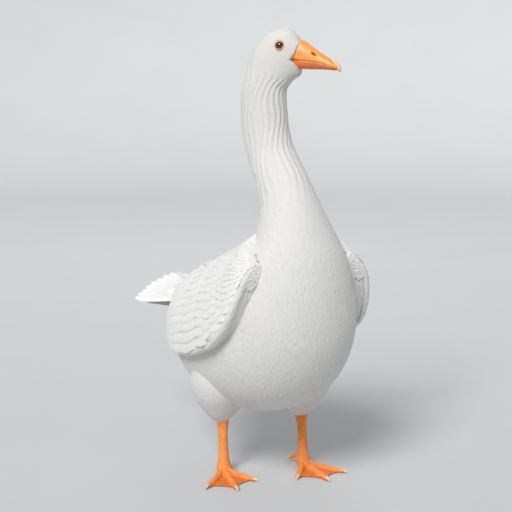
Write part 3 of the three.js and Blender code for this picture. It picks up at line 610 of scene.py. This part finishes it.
CELLS, TRIES, LEAST_GAP = 150, 16, 0.88
AROUND = [(i, j, k) for i in (-1, 0, 1) for j in (-1, 0, 1) for k in (-1, 0, 1)]


def scatter(surface, a_span, b_span, spacing, seed, keep):
    """Roots spread evenly over a stretch of a surface, as far apart as the spacing says."""
    rng = np.random.default_rng(seed)
    a_size, b_size = (np.subtract(*span[::-1]) / CELLS for span in (a_span, b_span))
    middles = np.arange(CELLS) + 0.5
    a, b = (m.ravel() for m in grid(a_span[0] + a_size * middles, b_span[0] + b_size * middles))
    pa, pb, _ = surface.frame(a, b)
    area = norm(np.cross(pa, pb)) * a_size * b_size
    weight = area / np.interp(a, *spacing) ** 2 * keep(a, b)
    count = int(weight.sum() * TRIES)
    pick = rng.choice(len(weight), size=count, p=weight / weight.sum())
    a = a[pick] + (rng.random(count) - 0.5) * a_size
    b = b[pick] + (rng.random(count) - 0.5) * b_size
    fine = keep(a, b)
    a, b = a[fine], b[fine]
    gap = np.interp(a, *spacing) * LEAST_GAP
    points = surface.place(a, b)
    keys = np.floor(points / gap.max()).astype(int).tolist()
    filled, kept = {}, []
    for index, ((x, y, z), (px, py, pz), limit) in enumerate(
            zip(keys, points.tolist(), (gap ** 2).tolist())):
        near = (q for i, j, k in AROUND for q in filled.get((x + i, y + j, z + k), ()))
        if all((px - qx) ** 2 + (py - qy) ** 2 + (pz - qz) ** 2 >= limit for qx, qy, qz in near):
            filled.setdefault((x, y, z), []).append((px, py, pz))
            kept.append(index)
    return a[kept], b[kept], rng


def plumage(name, surface, a_span, b_span, spacing, seed, *, length, width, depth,
            keep=everywhere, columns=4, rows=4, trim=None, yaw=0.1, **form):
    """A coat piece of small feathers spread over a stretch of a surface."""
    a, b, rng = scatter(surface, a_span, b_span, spacing, seed, keep)
    size = np.interp(a, *spacing)
    n = len(a)
    long = size * length * rng.uniform(0.9, 1.12, n)
    half = size * width * rng.uniform(0.9, 1.1, n)
    if trim is not None:
        long = trim(a, b, long)
    line_a, line_b = march(surface, a, b, long, rows, rng.uniform(-yaw, yaw, n))
    lifted = 0.01 * size * rng.uniform(-1, 1, n)
    fringe = 0.09 * rng.random((n, columns + 1))
    coat = Coat(name)
    lay(coat, surface, line_a, line_b, half, long, rng.random(n), columns=columns, lifted=lifted,
        fringe=fringe, depth=depth(a) if callable(depth) else depth, **form)
    coat.build()


# ---- Materials ----

class Shader:
    """A node material built with short calls. A value is a number, a colour or a socket."""

    def __init__(self, name):
        self.material = bpy.data.materials.new(name)
        self.material.use_nodes = True
        self.tree = self.material.node_tree

    def feed(self, socket, value):
        if isinstance(value, bpy.types.NodeSocket):
            self.tree.links.new(value, socket)
        else:
            socket.default_value = (*value, 1.0) if socket.type == "RGBA" else value

    def add(self, kind, inputs=(), output=0, **settings):
        node = self.tree.nodes.new(kind)
        for key, value in settings.items():
            setattr(node, key, value)
        for key, value in inputs.items() if isinstance(inputs, dict) else enumerate(inputs):
            self.feed(node.inputs[key], value)
        return node.outputs[output]

    def math(self, operation, a, b=0.0, c=0.0):
        return self.add("ShaderNodeMath", (a, b, c), operation=operation)

    def times(self, a, b):
        return self.math("MULTIPLY", a, b)

    def mix(self, share, a, b):
        return self.add("ShaderNodeMix", {0: share, 6: a, 7: b}, output=2, data_type="RGBA")

    def ramp(self, value, low, high, start=0.0, end=1.0):
        return self.add("ShaderNodeMapRange", (value, low, high, start, end))

    def place(self):
        return self.add("ShaderNodeTexCoord", output="Object")

    def noise(self, scale, detail=3.0):
        return self.add("ShaderNodeTexNoise",
                        {"Vector": self.place(), "Scale": scale, "Detail": detail})

    def cells(self, scale, where=None, feature="F1"):
        vector = where if where is not None else self.place()
        return self.add("ShaderNodeTexVoronoi", {"Vector": vector, "Scale": scale},
                        output="Distance", feature=feature)

    def attribute(self, name):
        return self.add("ShaderNodeAttribute", output="Fac", attribute_name=name)

    def bump(self, height, distance, strength):
        return self.add("ShaderNodeBump",
                        {"Strength": strength, "Distance": distance, "Height": height})

    def finish(self, colour, rough, normal=None, **values):
        inputs = self.tree.nodes["Principled BSDF"].inputs
        values = {"Base_Color": colour, "Roughness": rough, "Normal": normal, **values}
        for key, value in values.items():
            if value is not None:
                self.feed(inputs[key.replace("_", " ")], value)
        return self.material


FLESH = {"Subsurface_Radius": (0.004, 0.0016, 0.0006), "Subsurface_Scale": 1.0}


def plumage_material():
    """White feathers: barbs that run out and forward from a fine shaft."""
    s = Shader("plumage")
    x = s.add("ShaderNodeSeparateXYZ", (s.add("ShaderNodeUVMap", uv_map="Vane"),))
    y = x.node.outputs[1]
    side = s.math("ABSOLUTE", x)
    tone = s.attribute("tone")
    wander = s.noise(60.0, 2.0)
    lean = s.math("MULTIPLY_ADD", side, -1.25, y)
    phase = s.math("MULTIPLY_ADD", wander, 2.5, s.times(lean, 1.05))
    barb = s.math("SINE", s.times(phase, 6.2832))
    shaft = s.ramp(side, 0.25, 0.7, 1.0, 0.0)
    white = s.mix(s.times(s.noise(9.0), 0.6), (0.83, 0.815, 0.775), (0.87, 0.87, 0.86))
    white = s.mix(s.times(tone, 0.35), white, (0.78, 0.775, 0.755))
    rib = s.times(s.ramp(barb, -1.0, 1.0), 0.16)
    white = s.mix(rib, white, (0.66, 0.66, 0.66))
    white = s.mix(s.times(shaft, 0.25), white, (0.7, 0.66, 0.58))
    height = s.math("ADD", s.times(barb, 0.5), s.times(shaft, 1.2))
    rough = s.ramp(s.noise(140.0, 2.0), 0.3, 0.7, 0.62, 0.8)
    return s.finish(white, rough, s.bump(height, 0.00012, 0.5),
                    Sheen_Weight=0.15, Sheen_Roughness=0.5, Subsurface_Weight=0.25,
                    Subsurface_Radius=(1.0, 0.95, 0.85), Subsurface_Scale=0.003)


def skin_material():
    s = Shader("down")
    fluff = s.noise(350.0, 4.0)
    white = s.mix(s.noise(25.0), (0.79, 0.78, 0.75), (0.85, 0.85, 0.84))
    return s.finish(white, s.ramp(fluff, 0.0, 1.0, 0.75, 0.95),
                    s.bump(fluff, 0.0006, 0.7))


def horn_material(name, dark, bright, rough):
    """Bill, nail and claws: a clouded colour, fine grain, and painted shade where the attribute of
    painted shade says so.
    """
    s = Shader(name)
    cloud = s.noise(90.0, 4.0)
    fine = s.noise(810.0)
    colour = s.mix(s.ramp(cloud, 0.3, 0.7), dark, bright)
    colour = s.mix(s.times(fine, 0.18), colour, tuple(0.6 * c for c in bright))
    # Painted shade: near black where the attribute of painted shade is high, as in the nostril
    # pits.
    colour = s.mix(s.attribute("painted_shade"), colour, (0.06, 0.018, 0.01))
    pits = s.cells(720.0)
    height = s.math("ADD", s.times(fine, 0.6), s.times(pits, 0.6))
    return s.finish(colour, s.ramp(fine, 0.2, 0.8, rough - 0.06, rough + 0.1),
                    s.bump(height, 0.00025, 0.45), Subsurface_Weight=0.12, **FLESH,
                    Coat_Weight=0.15, Coat_Roughness=0.3)


def leg_material():
    """Small round scales on the shank, wrinkled skin on the webs; painted shade on the webs and in
    the creases between scales.
    """
    s = Shader("leg")
    squeezed = s.add("ShaderNodeMapping", {"Vector": s.place(), "Scale": (1.0, 1.0, 0.72)})
    plate = s.ramp(s.cells(480.0, squeezed, feature="DISTANCE_TO_EDGE"), 0.0, 0.16)
    wander = s.noise(70.0, 4.0)
    fine = s.noise(900.0, 2.0)
    colour = s.mix(s.ramp(wander, 0.3, 0.7), (0.86, 0.255, 0.045), (0.96, 0.36, 0.085))
    # Painted shade: the webs take a darker copy of the leg's orange.
    web_painted_shade = s.mix(wander, (0.7, 0.14, 0.02), (0.84, 0.22, 0.04))
    colour = s.mix(s.attribute("web"), colour, web_painted_shade)
    # Painted shade: dark brown in the creases between scales, where the bump sinks the surface.
    crease_shade = s.times(s.math("SUBTRACT", 1.0, plate), 0.38)
    colour = s.mix(crease_shade, colour, (0.42, 0.1, 0.025))
    height = s.math("MULTIPLY_ADD", fine, 0.15, plate)
    return s.finish(colour, s.ramp(fine, 0.2, 0.8, 0.38, 0.55),
                    s.bump(height, 0.0004, 0.7), Subsurface_Weight=0.1, **FLESH)


def eye_material():
    """Pupil, dark blue-brown iris with fine rays, and a wet surface."""
    s = Shader("eye")
    gaze = s.attribute("gaze")
    iris = s.mix(s.noise(700.0, 2.0), (0.006, 0.007, 0.011), (0.028, 0.031, 0.046))
    iris = s.mix(s.ramp(gaze, 0.46, 0.5), (0.002, 0.002, 0.003), iris)
    iris = s.mix(s.ramp(gaze, 0.74, 0.86), iris, (0.01, 0.009, 0.01))
    return s.finish(iris, 0.08, Coat_Weight=1.0, Coat_Roughness=0.02)


def lid_material():
    s = Shader("lid")
    colour = s.mix(s.noise(500.0), (0.72, 0.2, 0.03), (0.9, 0.36, 0.08))
    return s.finish(colour, 0.45, s.bump(s.cells(1100.0), 0.0002, 0.5))


def floor_material():
    s = Shader("floor")
    colour = s.mix(s.noise(3.0, 4.0), (0.5, 0.515, 0.53), (0.53, 0.54, 0.55))
    return s.finish(colour, 0.8, s.bump(s.noise(120.0), 0.0002, 0.2))


MATERIALS = {
    "plumage": plumage_material(),
    "down": skin_material(),
    "bill": horn_material("bill", (0.9, 0.27, 0.045), (0.98, 0.37, 0.085), 0.36),
    # bill_lower is a darker copy of the bill's orange: painted shade on the lower bill.
    "bill_lower": horn_material("bill_lower", (0.72, 0.14, 0.02), (0.82, 0.2, 0.035), 0.4),
    "nail": horn_material("nail", (0.86, 0.55, 0.34), (0.93, 0.68, 0.48), 0.3),
    "claw": horn_material("claw", (0.62, 0.42, 0.27), (0.78, 0.6, 0.44), 0.35),
    "leg": leg_material(),
    "eye": eye_material(),
    "lid": lid_material(),
    "floor": floor_material(),
}


def dress(obj, material):
    obj.data.materials.clear()
    obj.data.materials.append(MATERIALS[material])
    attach(obj, "root")
    return obj


def solid(name, points, faces, material, slot):
    return dress(mesh_object(name, points, facing_out(points, faces)), material)


def paint(obj, name, values):
    layer = obj.data.attributes.new(name, "FLOAT", "POINT")
    values = np.broadcast_to(values, len(obj.data.vertices))
    layer.data.foreach_set("value", values.astype(np.float32))


# ---- Skin ----

def wing_flesh(side):
    """The wing under its feathers, from a blunt front down to a thin tip."""
    line = mix(-0.05, 0.98, np.linspace(0, 1, 34) ** 1.3)
    surface = wing_surface(side)
    rings = []
    for i in np.linspace(0, 1, 44):
        section = np.full(len(line), mix(WING_FRONT - 0.25, 2.5, i ** 1.3))
        inset = 4.5 + 7.0 * quarter(1 - i / 0.2)
        outer = surface.place(section, line) - inset * surface.frame(section, line)[2]
        thick = mix(3, 36, smooth((section - 2.4) / 2.2)) + wing_edge(section, line)[0] + 6.0
        high, low = wing_lines(section)
        angle = np.radians(mix(low, high, np.clip(line, 0.07, 0.93)))
        inner = shell(section, angle, -FLESH_DEPTH - thick) * [side, 1, 1]
        rings.append(np.vstack([outer, inner[::-1]]))
    return loft(np.array(rings))


def skin():
    s = np.concatenate([np.linspace(0, 11, 67)[:-1], np.linspace(11, 20, 90)[:-1],
                        np.linspace(20, 27, 180)])
    s, angle = grid(s, around(112))
    parts = [loft(cut_at_bill(s, angle, -np.interp(s, *COAT_DEPTH)))]
    for name, side in SIDES.items():
        parts.append(loft(thigh(name, *grid(np.linspace(0, 6, 40), around(56)), -FLESH_DEPTH)))
        parts.append(wing_flesh(side))
    parts.append(loft(rump(*grid(np.linspace(0, 7, 44), around(64)), -FLESH_DEPTH)))
    return merged(parts)


goose_skin = solid("plumage_skin", *skin(), "down", "plumage")
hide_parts("torso", "neck_lower", "neck_upper", "head", "tail", "wing_left",
            "wing_right", "thigh_left", "thigh_right")


# ---- Eyes ----

def eye_place(side):
    """The middle of an eye's opening, outward and forward."""
    section, angle = EYE["section"], EYE["angle"]

    def place(further, lower):
        return body(np.array(section + further), np.array(side * (angle + lower)))

    ahead = place(0.2, 0) - place(-0.2, 0)
    outward = unit(np.cross(ahead, place(0, 0.1) - place(0, -0.1)) * side)
    return place(0, 0), outward, unit(ahead - outward * np.dot(ahead, outward))


EYES = {name: eye_place(side) for name, side in SIDES.items()}


def make_eye(name):
    surface, outward, forward = EYES[name]
    up = np.cross(outward, forward)
    polar, turn = (m[..., None] for m in grid(np.linspace(0.02, np.pi - 0.02, 40), around(56)))
    bulge = np.where(polar < 0.7, 1 + 0.03 * np.cos(polar / 0.7 * np.pi / 2) ** 2, 1)
    middle = surface - outward * EYE["depth"]
    direction = (outward * np.cos(polar)
                 + np.sin(polar) * (forward * np.cos(turn) + up * np.sin(turn)))
    points, faces = loft(middle + direction * EYE["radius"] * bulge)
    ball = solid(f"eyeball_{name}", points, faces, "eye", "eye")
    cosine = unit(points - middle) @ outward
    sine = np.sqrt(np.maximum(0, 1 - cosine ** 2)) / (EYE_OPENING / EYE["radius"])
    paint(ball, "gaze", np.where(cosine > 0, sine, 2))
    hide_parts(f"eye_{name}")


def make_lid(name):
    """A wrinkled ring round an eye, thicker above."""
    surface, outward, forward = EYES[name]
    up = np.cross(outward, forward)
    up = up * np.sign(up[2])
    phi, across = (m[..., None] for m in grid(around(72), around(14)))
    c, s = np.cos(phi), np.sin(phi)
    reach = EYE_OPENING + 0.35
    middle = surface + forward * (reach * 1.1 * c) + up * (reach * np.where(s > 0, 0.94, 1.0) * s)
    thick = 1.15 + 0.35 * np.maximum(0.0, s)
    wrinkled = thick * (1 + 0.06 * np.sin(23 * phi))
    rings = (middle + 0.2 * outward + unit(forward * c + up * s) * wrinkled * np.cos(across)
             + outward * 0.85 * thick * np.sin(across))
    faces = ring_faces(*rings.shape[:2], closed=True)
    solid(f"eyelid_{name}", rings.reshape(-1, 3), faces, "lid", "leg")


for side_name in SIDES:
    make_eye(side_name)
    make_lid(side_name)


# ---- Bill ----

def bill_place(left, ahead, up):
    return turned(left, BILL_ROOT[0] + ahead * PITCH_COS + up * PITCH_SIN,
                  BILL_ROOT[1] - ahead * PITCH_SIN + up * PITCH_COS, HEAD_TURN)


def bill_piece(name, rows, rings, sides, material, slot, node, shape=None):
    s, angle = grid(np.linspace(0, len(rows) - 1, rings), around(sides))
    ahead, top, low, half, widest, power = split(row_at(rows, s))
    left, _, up = section_point(stacked(0, top, 0, low, half, widest, power), angle)
    # The attribute of painted shade: none, unless the shape paints shade into the nostril pits.
    painted_shade = 0 * top
    if shape is not None:
        left, painted_shade = shape(left, ahead, up)
    piece = solid(name, *loft(bill_place(left, ahead, up)), material, slot)
    paint(piece, "painted_shade", np.concatenate([painted_shade.ravel(), [0, 0]]))
    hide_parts(node)


def nostrils(left, ahead, up):
    """A pit with a soft rim on each side, and painted shade in the pit."""
    c, s = math.cos(NOSTRIL["tilt"]), math.sin(NOSTRIL["tilt"])
    x, y = ahead - NOSTRIL["ahead"], up - NOSTRIL["up"]
    far = ((x * c - y * s) / NOSTRIL["long"]) ** 2 + ((x * s + y * c) / NOSTRIL["high"]) ** 2
    flank = np.abs(left) > 3
    pit = smooth((1.1 - far) / 0.7) * flank
    rim = np.exp(-((np.sqrt(far) - 1.25) / 0.22) ** 2) * flank
    # The second value is painted shade that darkens the pit.
    return left - np.sign(left) * (NOSTRIL["deep"] * pit - 0.45 * rim), 0.85 * pit


bill_piece("bill_top", UPPER_BILL, 190, 120, "bill", "bill", "bill_upper", nostrils)
# The lower bill takes the darker bill_lower material, which is painted shade.
bill_piece("bill_bottom", LOWER_BILL, 110, 72, "bill_lower", "bill", "bill_lower")
bill_piece("bill_tip", BILL_NAIL, 50, 48, "nail", "nail", "bill_nail")


def lamellae():
    """Small horny teeth along the edges of the mouth."""
    parts = []
    polar, turn = grid(np.linspace(0, np.pi, 6)[1:-1], around(8))
    half, high = LAMELLAE["half"], LAMELLAE["high"]
    for side in (1, -1):
        for ahead in np.arange(*LAMELLAE["places"]):
            low, upper_half, lower_half = (
                np.interp(ahead, rows[:, 0], rows[:, k])
                for rows, k in ((UPPER_BILL, 2), (UPPER_BILL, 3), (LOWER_BILL, 3)))
            left = side * min(upper_half - 1.3, lower_half + 0.25)
            parts.append(loft(bill_place(left + half * np.sin(polar) * np.cos(turn),
                                         ahead + half * np.sin(polar) * np.sin(turn),
                                         low + 0.3 + high * np.cos(polar))))
    paint(solid("bill_lamellae", *merged(parts), "nail", "bill"), "painted_shade", 0)


lamellae()


# ---- Legs and feet ----

def in_foot(across, ahead, up):
    return np.array([across, -ahead, up], float)


def tube(places, half, widths, high, heights, sides, fine=6):
    """A round tube through places, drawn finer along a spline."""
    rows = np.column_stack([places, half * np.array(widths), high * np.array(heights)])
    rows = row_at(rows, np.linspace(0, len(rows) - 1, (len(rows) - 1) * fine + 1))
    centre, wide, high = rows[:, :3], rows[:, 3], rows[:, 4]
    along = unit(np.gradient(centre, axis=0))
    across = unit(np.cross(along, [0, 0, 1]))
    above = np.cross(across, along)
    angle = around(sides)
    return loft(centre[:, None] + across[:, None] * (wide[:, None] * np.sin(angle))[..., None]
                + above[:, None] * (high[:, None] * np.cos(angle))[..., None])


def toe_point(toe, outward, share, up):
    angle = math.radians(TOES[toe][0]) * outward
    ahead = share * TOES[toe][1]
    return in_foot(ahead * math.sin(angle), ahead * math.cos(angle), up)


def toe(name, outward):
    half = TOES[name][2]
    shares = [-0.06, 0.2, 0.36, 0.52, 0.68, 0.82, 0.94, 1]
    swell = [1.3, 1.02, 1.06, 0.88, 1, 0.8, 0.82, 0.44]
    return tube([toe_point(name, outward, f, mix(7.4, 3.6, f)) for f in shares], half, swell,
                1, [mix(8.6, 5.2, f) * (0.4 + 0.6 * w) for f, w in zip(shares, swell)], 20)


def web(first, second, outward):
    """The skin between two toes, with a hollow front edge and a slight sag."""
    n = WEB["steps"]
    a, b = (toe_point(toe_name, outward, WEB["reach"], 0) for toe_name in (first, second))
    dip = (a + b) / 2 * WEB["hollow"]
    f, g = (m[..., None] for m in grid(np.linspace(0, 1, n), np.linspace(0, 1, n)))
    edge = (1 - g) ** 2 * a + 2 * g * (1 - g) * dip + g ** 2 * b
    top = edge * (0.04 + 0.96 * f)
    low, f, g = top.copy(), f[..., 0], g[..., 0]
    sag = 0.5 * np.sin(np.pi * g) * f
    middle = WEB["up"] - sag + 0.5 * np.sin(g * np.pi * 5) * f * np.sin(g * np.pi)
    thick = WEB["half_thick"] * (1 - 0.35 * f ** 4)
    top[..., 2] = middle + thick
    low[..., 2] = np.maximum(middle - thick, 0.4)
    ids = np.arange(n * n).reshape(n, n)
    p = ids[:-1, :-1].ravel()
    q = n * n + p
    faces = stacked(p, p + n, p + n + 1, p + 1, q, q + 1, q + n + 1, q + n)
    rim = np.concatenate([ids[0], ids[1:, -1], ids[-1, -2::-1], ids[-2:0:-1, 0]])
    after = np.roll(rim, -1)
    sides = stacked(rim, after, n * n + after, n * n + rim)
    points = np.vstack([top.reshape(-1, 3), low.reshape(-1, 3)])
    return points, np.vstack([faces.reshape(-1, 4), sides]).tolist()


def hind_point(outward, share, up):
    return in_foot(-outward * (6 + 9 * share), -10 - HIND_TOE["long"] * share, up)


def hind_toe(outward):
    half = HIND_TOE["half"]
    return tube([hind_point(outward, f, mix(HIND_TOE["up"], 9.5, max(0, f) ** 1.4))
                 for f in (-0.2, 0.3, 0.65, 0.9, 1)],
                half, (1.2, 1.05, 0.95, 0.8, 0.4), half, (1.3, 1.1, 0.95, 0.8, 0.4), 16)


def shank():
    rows = row_at(TARSUS, np.linspace(0, len(TARSUS) - 1, 90))[:, None]
    up, back, across, along = split(rows)
    angle = around(40)
    return loft(stacked(across * np.sin(angle), back - along * np.cos(angle), up))


def claw(point, shares, heights, half, high):
    return tube([point(f, up) for f, up in zip(shares, heights)],
                half, (1, 1, 0.7, 0.14), high, (1, 0.92, 0.62, 0.16), 18, 8)


def foot_claws(outward):
    parts = []
    for name, (_, long, _) in TOES.items():
        start, end = (long - 6) / long, (long + CLAW["long"] - 4) / long
        parts.append(claw(lambda f, up: toe_point(name, outward, f, up),
                          [mix(start, end, f) for f in (0, 0.35, 0.7, 1)], [5.8, 5.6, 4, 1.4],
                          CLAW["half"], CLAW["high"]))
    parts.append(claw(lambda f, up: hind_point(outward, f, up), [0.84, 1.04, 1.2, 1.3],
                      [11, 8.6, 6, 4], 2.5, 2.5))
    return merged(parts)


def in_stance(points, name):
    turn = math.radians(FOOT_TURN[name])
    c, s = math.cos(turn), math.sin(turn)
    x, y, z = points.T
    return stacked(x * c - y * s, x * s + y * c, z) + foot_place(name)


def foot_place(name):
    return at(SIDES[name] * LEG_APART[name], LEG_FORE[name], 0)


def fuse(obj):
    """Makes the closed parts of an object one smooth skin."""
    remesh = obj.modifiers.new("fuse", "REMESH")
    remesh.mode, remesh.voxel_size, remesh.use_smooth_shade = "VOXEL", 0.0011, True
    soften = obj.modifiers.new("soften", "SMOOTH")
    soften.factor, soften.iterations = 0.5, 4
    bpy.context.view_layer.update()
    depsgraph = bpy.context.evaluated_depsgraph_get()
    mesh = bpy.data.meshes.new_from_object(obj.evaluated_get(depsgraph))
    obj.modifiers.clear()
    obj.data = mesh


def make_leg(name, side):
    parts = [shank(), hind_toe(side), *(toe(t, side) for t in TOES),
             web("inner", "middle", side), web("middle", "outer", side)]
    points, faces = merged(parts)
    leg = mesh_object(f"leg_{name}", in_stance(points, name), faces)
    fuse(leg)
    places = np.empty(len(leg.data.vertices) * 3)
    leg.data.vertices.foreach_get("co", places)
    places = places.reshape(-1, 3)
    places[:, 2] = np.maximum(places[:, 2], 0.0)
    leg.data.vertices.foreach_set("co", places.ravel())
    leg.data.update()
    dress(leg, "leg")
    reach = norm((places / MM - foot_place(name))[:, :2])
    # The web attribute marks where the webs get their painted shade.
    paint(leg, "web", smooth((5.0 - places[:, 2] / MM) / 1.6) * smooth((reach - 16) / 10))
    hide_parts(f"tarsus_{name}", f"foot_{name}")
    points, faces = foot_claws(side)
    claws = solid(f"claws_{name}", in_stance(points, name), faces, "claw", "claw")
    paint(claws, "painted_shade", 0)
    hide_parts(*(f"claw_{name}_{t}" for t in (*TOES, "hind")))


for side_name, side_sign in SIDES.items():
    make_leg(side_name, side_sign)


# ---- Plumage ----

def root_depth(a):
    return ROOT_SHARE * np.interp(a, *COAT_DEPTH)


def torso_open(a, angle):
    """Whether a place of the torso isn't well under a wing or the mantle."""
    degrees = np.abs(np.degrees((angle + np.pi) % TURN - np.pi))
    high, low = wing_lines(a) + np.array([3, -12])[:, None]
    under_wing = (a > 2.4) & (a < 8.1) & (degrees > high) & (degrees < low)
    return ~(under_wing | ((a > 2.8) & (a < 7.2) & (degrees <= high)))


def clear_of_eyes(a, b, long):
    """Feathers ahead of an eye end at its lid."""
    p = body(a, b)
    for surface, _, forward in EYES.values():
        away = p - surface
        dist = norm(away)
        near = (away @ forward > -2) & (dist < 30)
        long = np.where(near, np.minimum(long, np.maximum(dist - LID_CLEAR, 1.2)), long)
    return long


def face(a, b):
    """Whether a place of the head is clear of the bill and the eyes."""
    p = body(a, b)
    free = past_face_edge(a, b) < FACE_STEP["reach"]
    for surface, _, _ in EYES.values():
        free &= norm(p - surface) > LID_CLEAR
    return free


def on_mantle(a, b):
    high, _ = wing_lines(a)
    degrees = np.abs(np.degrees(b))
    outer = high + np.interp(a, [7, 7.8, 8.7, 9.1, 9.3], [8, 2, 4, 12, 14])
    return (degrees < outer) & ((a < 7.8) | (degrees > 24))


plumage("coat_head", FACE_SURFACE, (20.5, 26.95), FULL, BODY_SPACING, 3, keep=face, columns=2,
        rows=3, length=3.6, width=0.78, depth=root_depth, trim=clear_of_eyes, droop=0.08,
        thick=0.14, top=0.12, camber=0.05, **SMALL)
plumage("coat_neck", BODY_SURFACE, (12.5, 20.6), FULL, BODY_SPACING, 4, columns=2, rows=3,
        length=3.8, width=0.86, depth=root_depth, droop=0.1, thick=0.16, top=0.2, camber=0.05,
        **SMALL)
for part_name, part_span, part_seed in (("breast", (6.5, 12.6), 5), ("belly", (0.0, 6.6), 6)):
    plumage(f"coat_{part_name}", BODY_SURFACE, part_span, FULL, BODY_SPACING, part_seed,
            keep=torso_open, length=4.1, width=1.0, depth=root_depth, droop=0.1, thick=0.14,
            top=0.3, camber=0.03, **SMALL)
for side_name in SIDES:
    plumage(f"coat_thigh_{side_name}", thigh_surface(side_name), (0.9, 6.0), FULL,
            ([0, 6], [8.5, 5.2]), 8, length=4.0, width=1.0, depth=2.4, droop=0.15, thick=0.16,
            top=0.25, camber=0.035, **SMALL)
plumage("coat_mantle", MANTLE_SURFACE, (2.3, 9.27), (-1.36, 1.36),
        ([2, 5.5, 7.5, 9.2], [16, 13.5, 9, 5.8]), 9, keep=on_mantle, columns=6, rows=6, length=3.4,
        width=0.82, depth=lambda a: np.interp(a, [2, 7, 8.9], [5, 4.5, 3.5]), top=0.7, droop=0.3,
        camber=0.08, yaw=0.07, thick=0.35)
plumage("coat_rump", RUMP_SURFACE, (0.5, 7.1), FULL, ([0, 7], [12, 9]), 10, rows=5, length=3.5,
        width=0.85, depth=4.0, droop=0.3, thick=0.25, top=0.5, camber=0.08)


def ordered(coat, surface, count, root, tip, lines, half, rng, *, tilt, rows=12, columns=8, **form):
    """A tier of long feathers between two lines of a wing, each over the one below it."""
    f = np.linspace(0, 1, count)
    line, start = mix(*lines, f), mix(*root, f)
    end = mix(*tip, f) + 0.04 * rng.uniform(-1, 1, count)
    t = steps_along(rows)
    a = mix(start[:, None], end[:, None], t)
    b = line[:, None] + 0.006 * rng.uniform(-1, 1, count)[:, None] * t ** 2
    wide = half * (1 + 0.04 * rng.uniform(-1, 1, count))
    lay(coat, surface, a, b, wide, path_length(surface.place(a, b)), rng.random(count),
        columns=columns, tilt=tilt, **form)


def dress_wing(name, side):
    surface = wing_surface(side)
    rng = np.random.default_rng(21 if side > 0 else 22)
    quills = Coat(f"wing_{name}_quills")
    tilt = -0.11 * side
    for count, root, tip, lines, half, form in WING_TIERS:
        ordered(quills, surface, count, root, tip, lines, half, rng, tilt=tilt, **form)
    lines = (0.03, 0.9)
    rise = np.linspace(*lines, 40)
    for lower, upper, half in LESSER_COVERTS:
        edge = path_length(surface.place(mix(lower, upper, rise), rise))
        count = round(edge / (1.25 * half))
        root = np.minimum([lower + 0.2 + 0.075 * half, upper + 0.3 + 0.1 * half],
                          WING_FRONT - 0.02)
        ordered(quills, surface, count, root, (lower, upper), lines, half, rng, tilt=tilt, depth=4,
                top=1.2, rows=6, columns=6, **SHORT)
    quills.build()
    plumage(f"wing_{name}_coverts", surface, (5.5, 9.27), (-0.1, 1.1), ([5, 7, 9.3], [10, 8, 4.4]),
            31 + side, keep=lambda a, b: (a > 8.6) | ((b > 0.86) & (a > 7.4)), rows=5, length=3.2,
            width=0.85, depth=3.0, top=0.8, droop=0.3, camber=0.08, thick=0.3)
    plumage(f"wing_{name}_underside", surface, (3.0, 9.2), (-0.16, 0.07), ([2, 9], [11, 6]),
            35 + side, length=3.2, width=0.85, depth=3.8, top=-1.6, camber=0.05, thick=0.3)


for side_name, side_sign in SIDES.items():
    dress_wing(side_name, side_sign)


def tail_quills():
    """The fan of the tail, with coverts over and under its root."""
    coat = Coat("tail_quills")
    rng = np.random.default_rng(41)
    for count, width, start, end, half, raised, top, sides in TAIL_TIERS:
        covert = sides > 0
        form = ({"columns": 6, "outline": TUCKED, "settle": 1.6} if covert
                else {"columns": 8, "outline": QUILL})
        t = steps_along(8 if covert else 12)
        place = np.linspace(-width, width, count)
        start = start + 20 * place ** 2
        reach = (end - start) * (1 - 0.14 * place ** 2) * (1 + 0.012 * rng.uniform(-1, 1, count))
        a = start[:, None] + reach[:, None] * t
        b = np.broadcast_to(place[:, None], a.shape)
        # The middle feather lies on top, so heights fall and edges tilt towards the outside.
        lay(coat, FAN_SURFACE, a, b, half, reach, rng.random(count), top=top,
            depth=-raised * (1 - sides * place ** 2), lifted=-7.8 * np.abs(place),
            tilt=0.12 * np.sign(place), camber=0.07, thick=0.9, round_tip=0.8, **form)
    coat.build()


tail_quills()


# ---- Floor, light and camera ----

def make_floor():
    """A round pale floor that sweeps up into a wall on every side."""
    flat, bend = 5000, 2200
    sweep = np.linspace(0, np.pi / 2, 13)
    radius = np.concatenate([[1500, 3500], flat + bend * np.sin(sweep)])[:, None]
    height = np.concatenate([[0, 0], bend * (1 - np.cos(sweep))])[:, None]
    turn = around(64)
    points, faces = loft(stacked(radius * np.cos(turn), radius * np.sin(turn), height))
    last = len(points) - 1
    floor = mesh_object("floor", points[:last], [face for face in faces if last not in face])
    floor.data.materials.append(MATERIALS["floor"])


def aim(obj, place, direction):
    obj.location = place
    obj.rotation_euler = Vector(direction).to_track_quat("-Z", "Y").to_euler()


def make_light(name, kind, place, direction, **settings):
    data = bpy.data.lights.new(name, kind)
    for key, value in settings.items():
        setattr(data, key, value)
    aim(linked(name, data), place, direction)


def make_camera():
    azimuth = math.radians(-30)
    distance, height, target_height, sideways = 2.5, 0.85, 0.438, 0.032
    shift = Vector((math.cos(azimuth), math.sin(azimuth), 0)) * sideways
    back = Vector((math.sin(azimuth), -math.cos(azimuth), 0)) * distance
    data = bpy.data.cameras.new("camera")
    data.lens, data.sensor_width = 86, 36
    camera = linked("camera", data)
    down = Vector((0, 0, target_height - height))
    aim(camera, back + Vector((0, 0, height)) + shift, down - back)
    bpy.context.scene.camera = camera


def make_world():
    world = bpy.data.worlds.new("studio")
    world.use_nodes = True
    background = world.node_tree.nodes["Background"].inputs
    background["Color"].default_value = (0.94, 0.96, 0.98, 1)
    background["Strength"].default_value = 0.5
    bpy.context.scene.world = world


make_floor()
make_camera()
make_light("key", "SUN", (0, 0, 0), (2.6, 2.0, -2.9), energy=2.9, angle=math.radians(24),
           color=(1.0, 0.99, 0.97))
make_light("back", "AREA", (1.4, 2.8, 2.6), (-1.4, -2.8, -2.1), energy=16, shape="DISK", size=1.8)
make_world()
bpy.context.scene.view_settings.view_transform = "Standard"
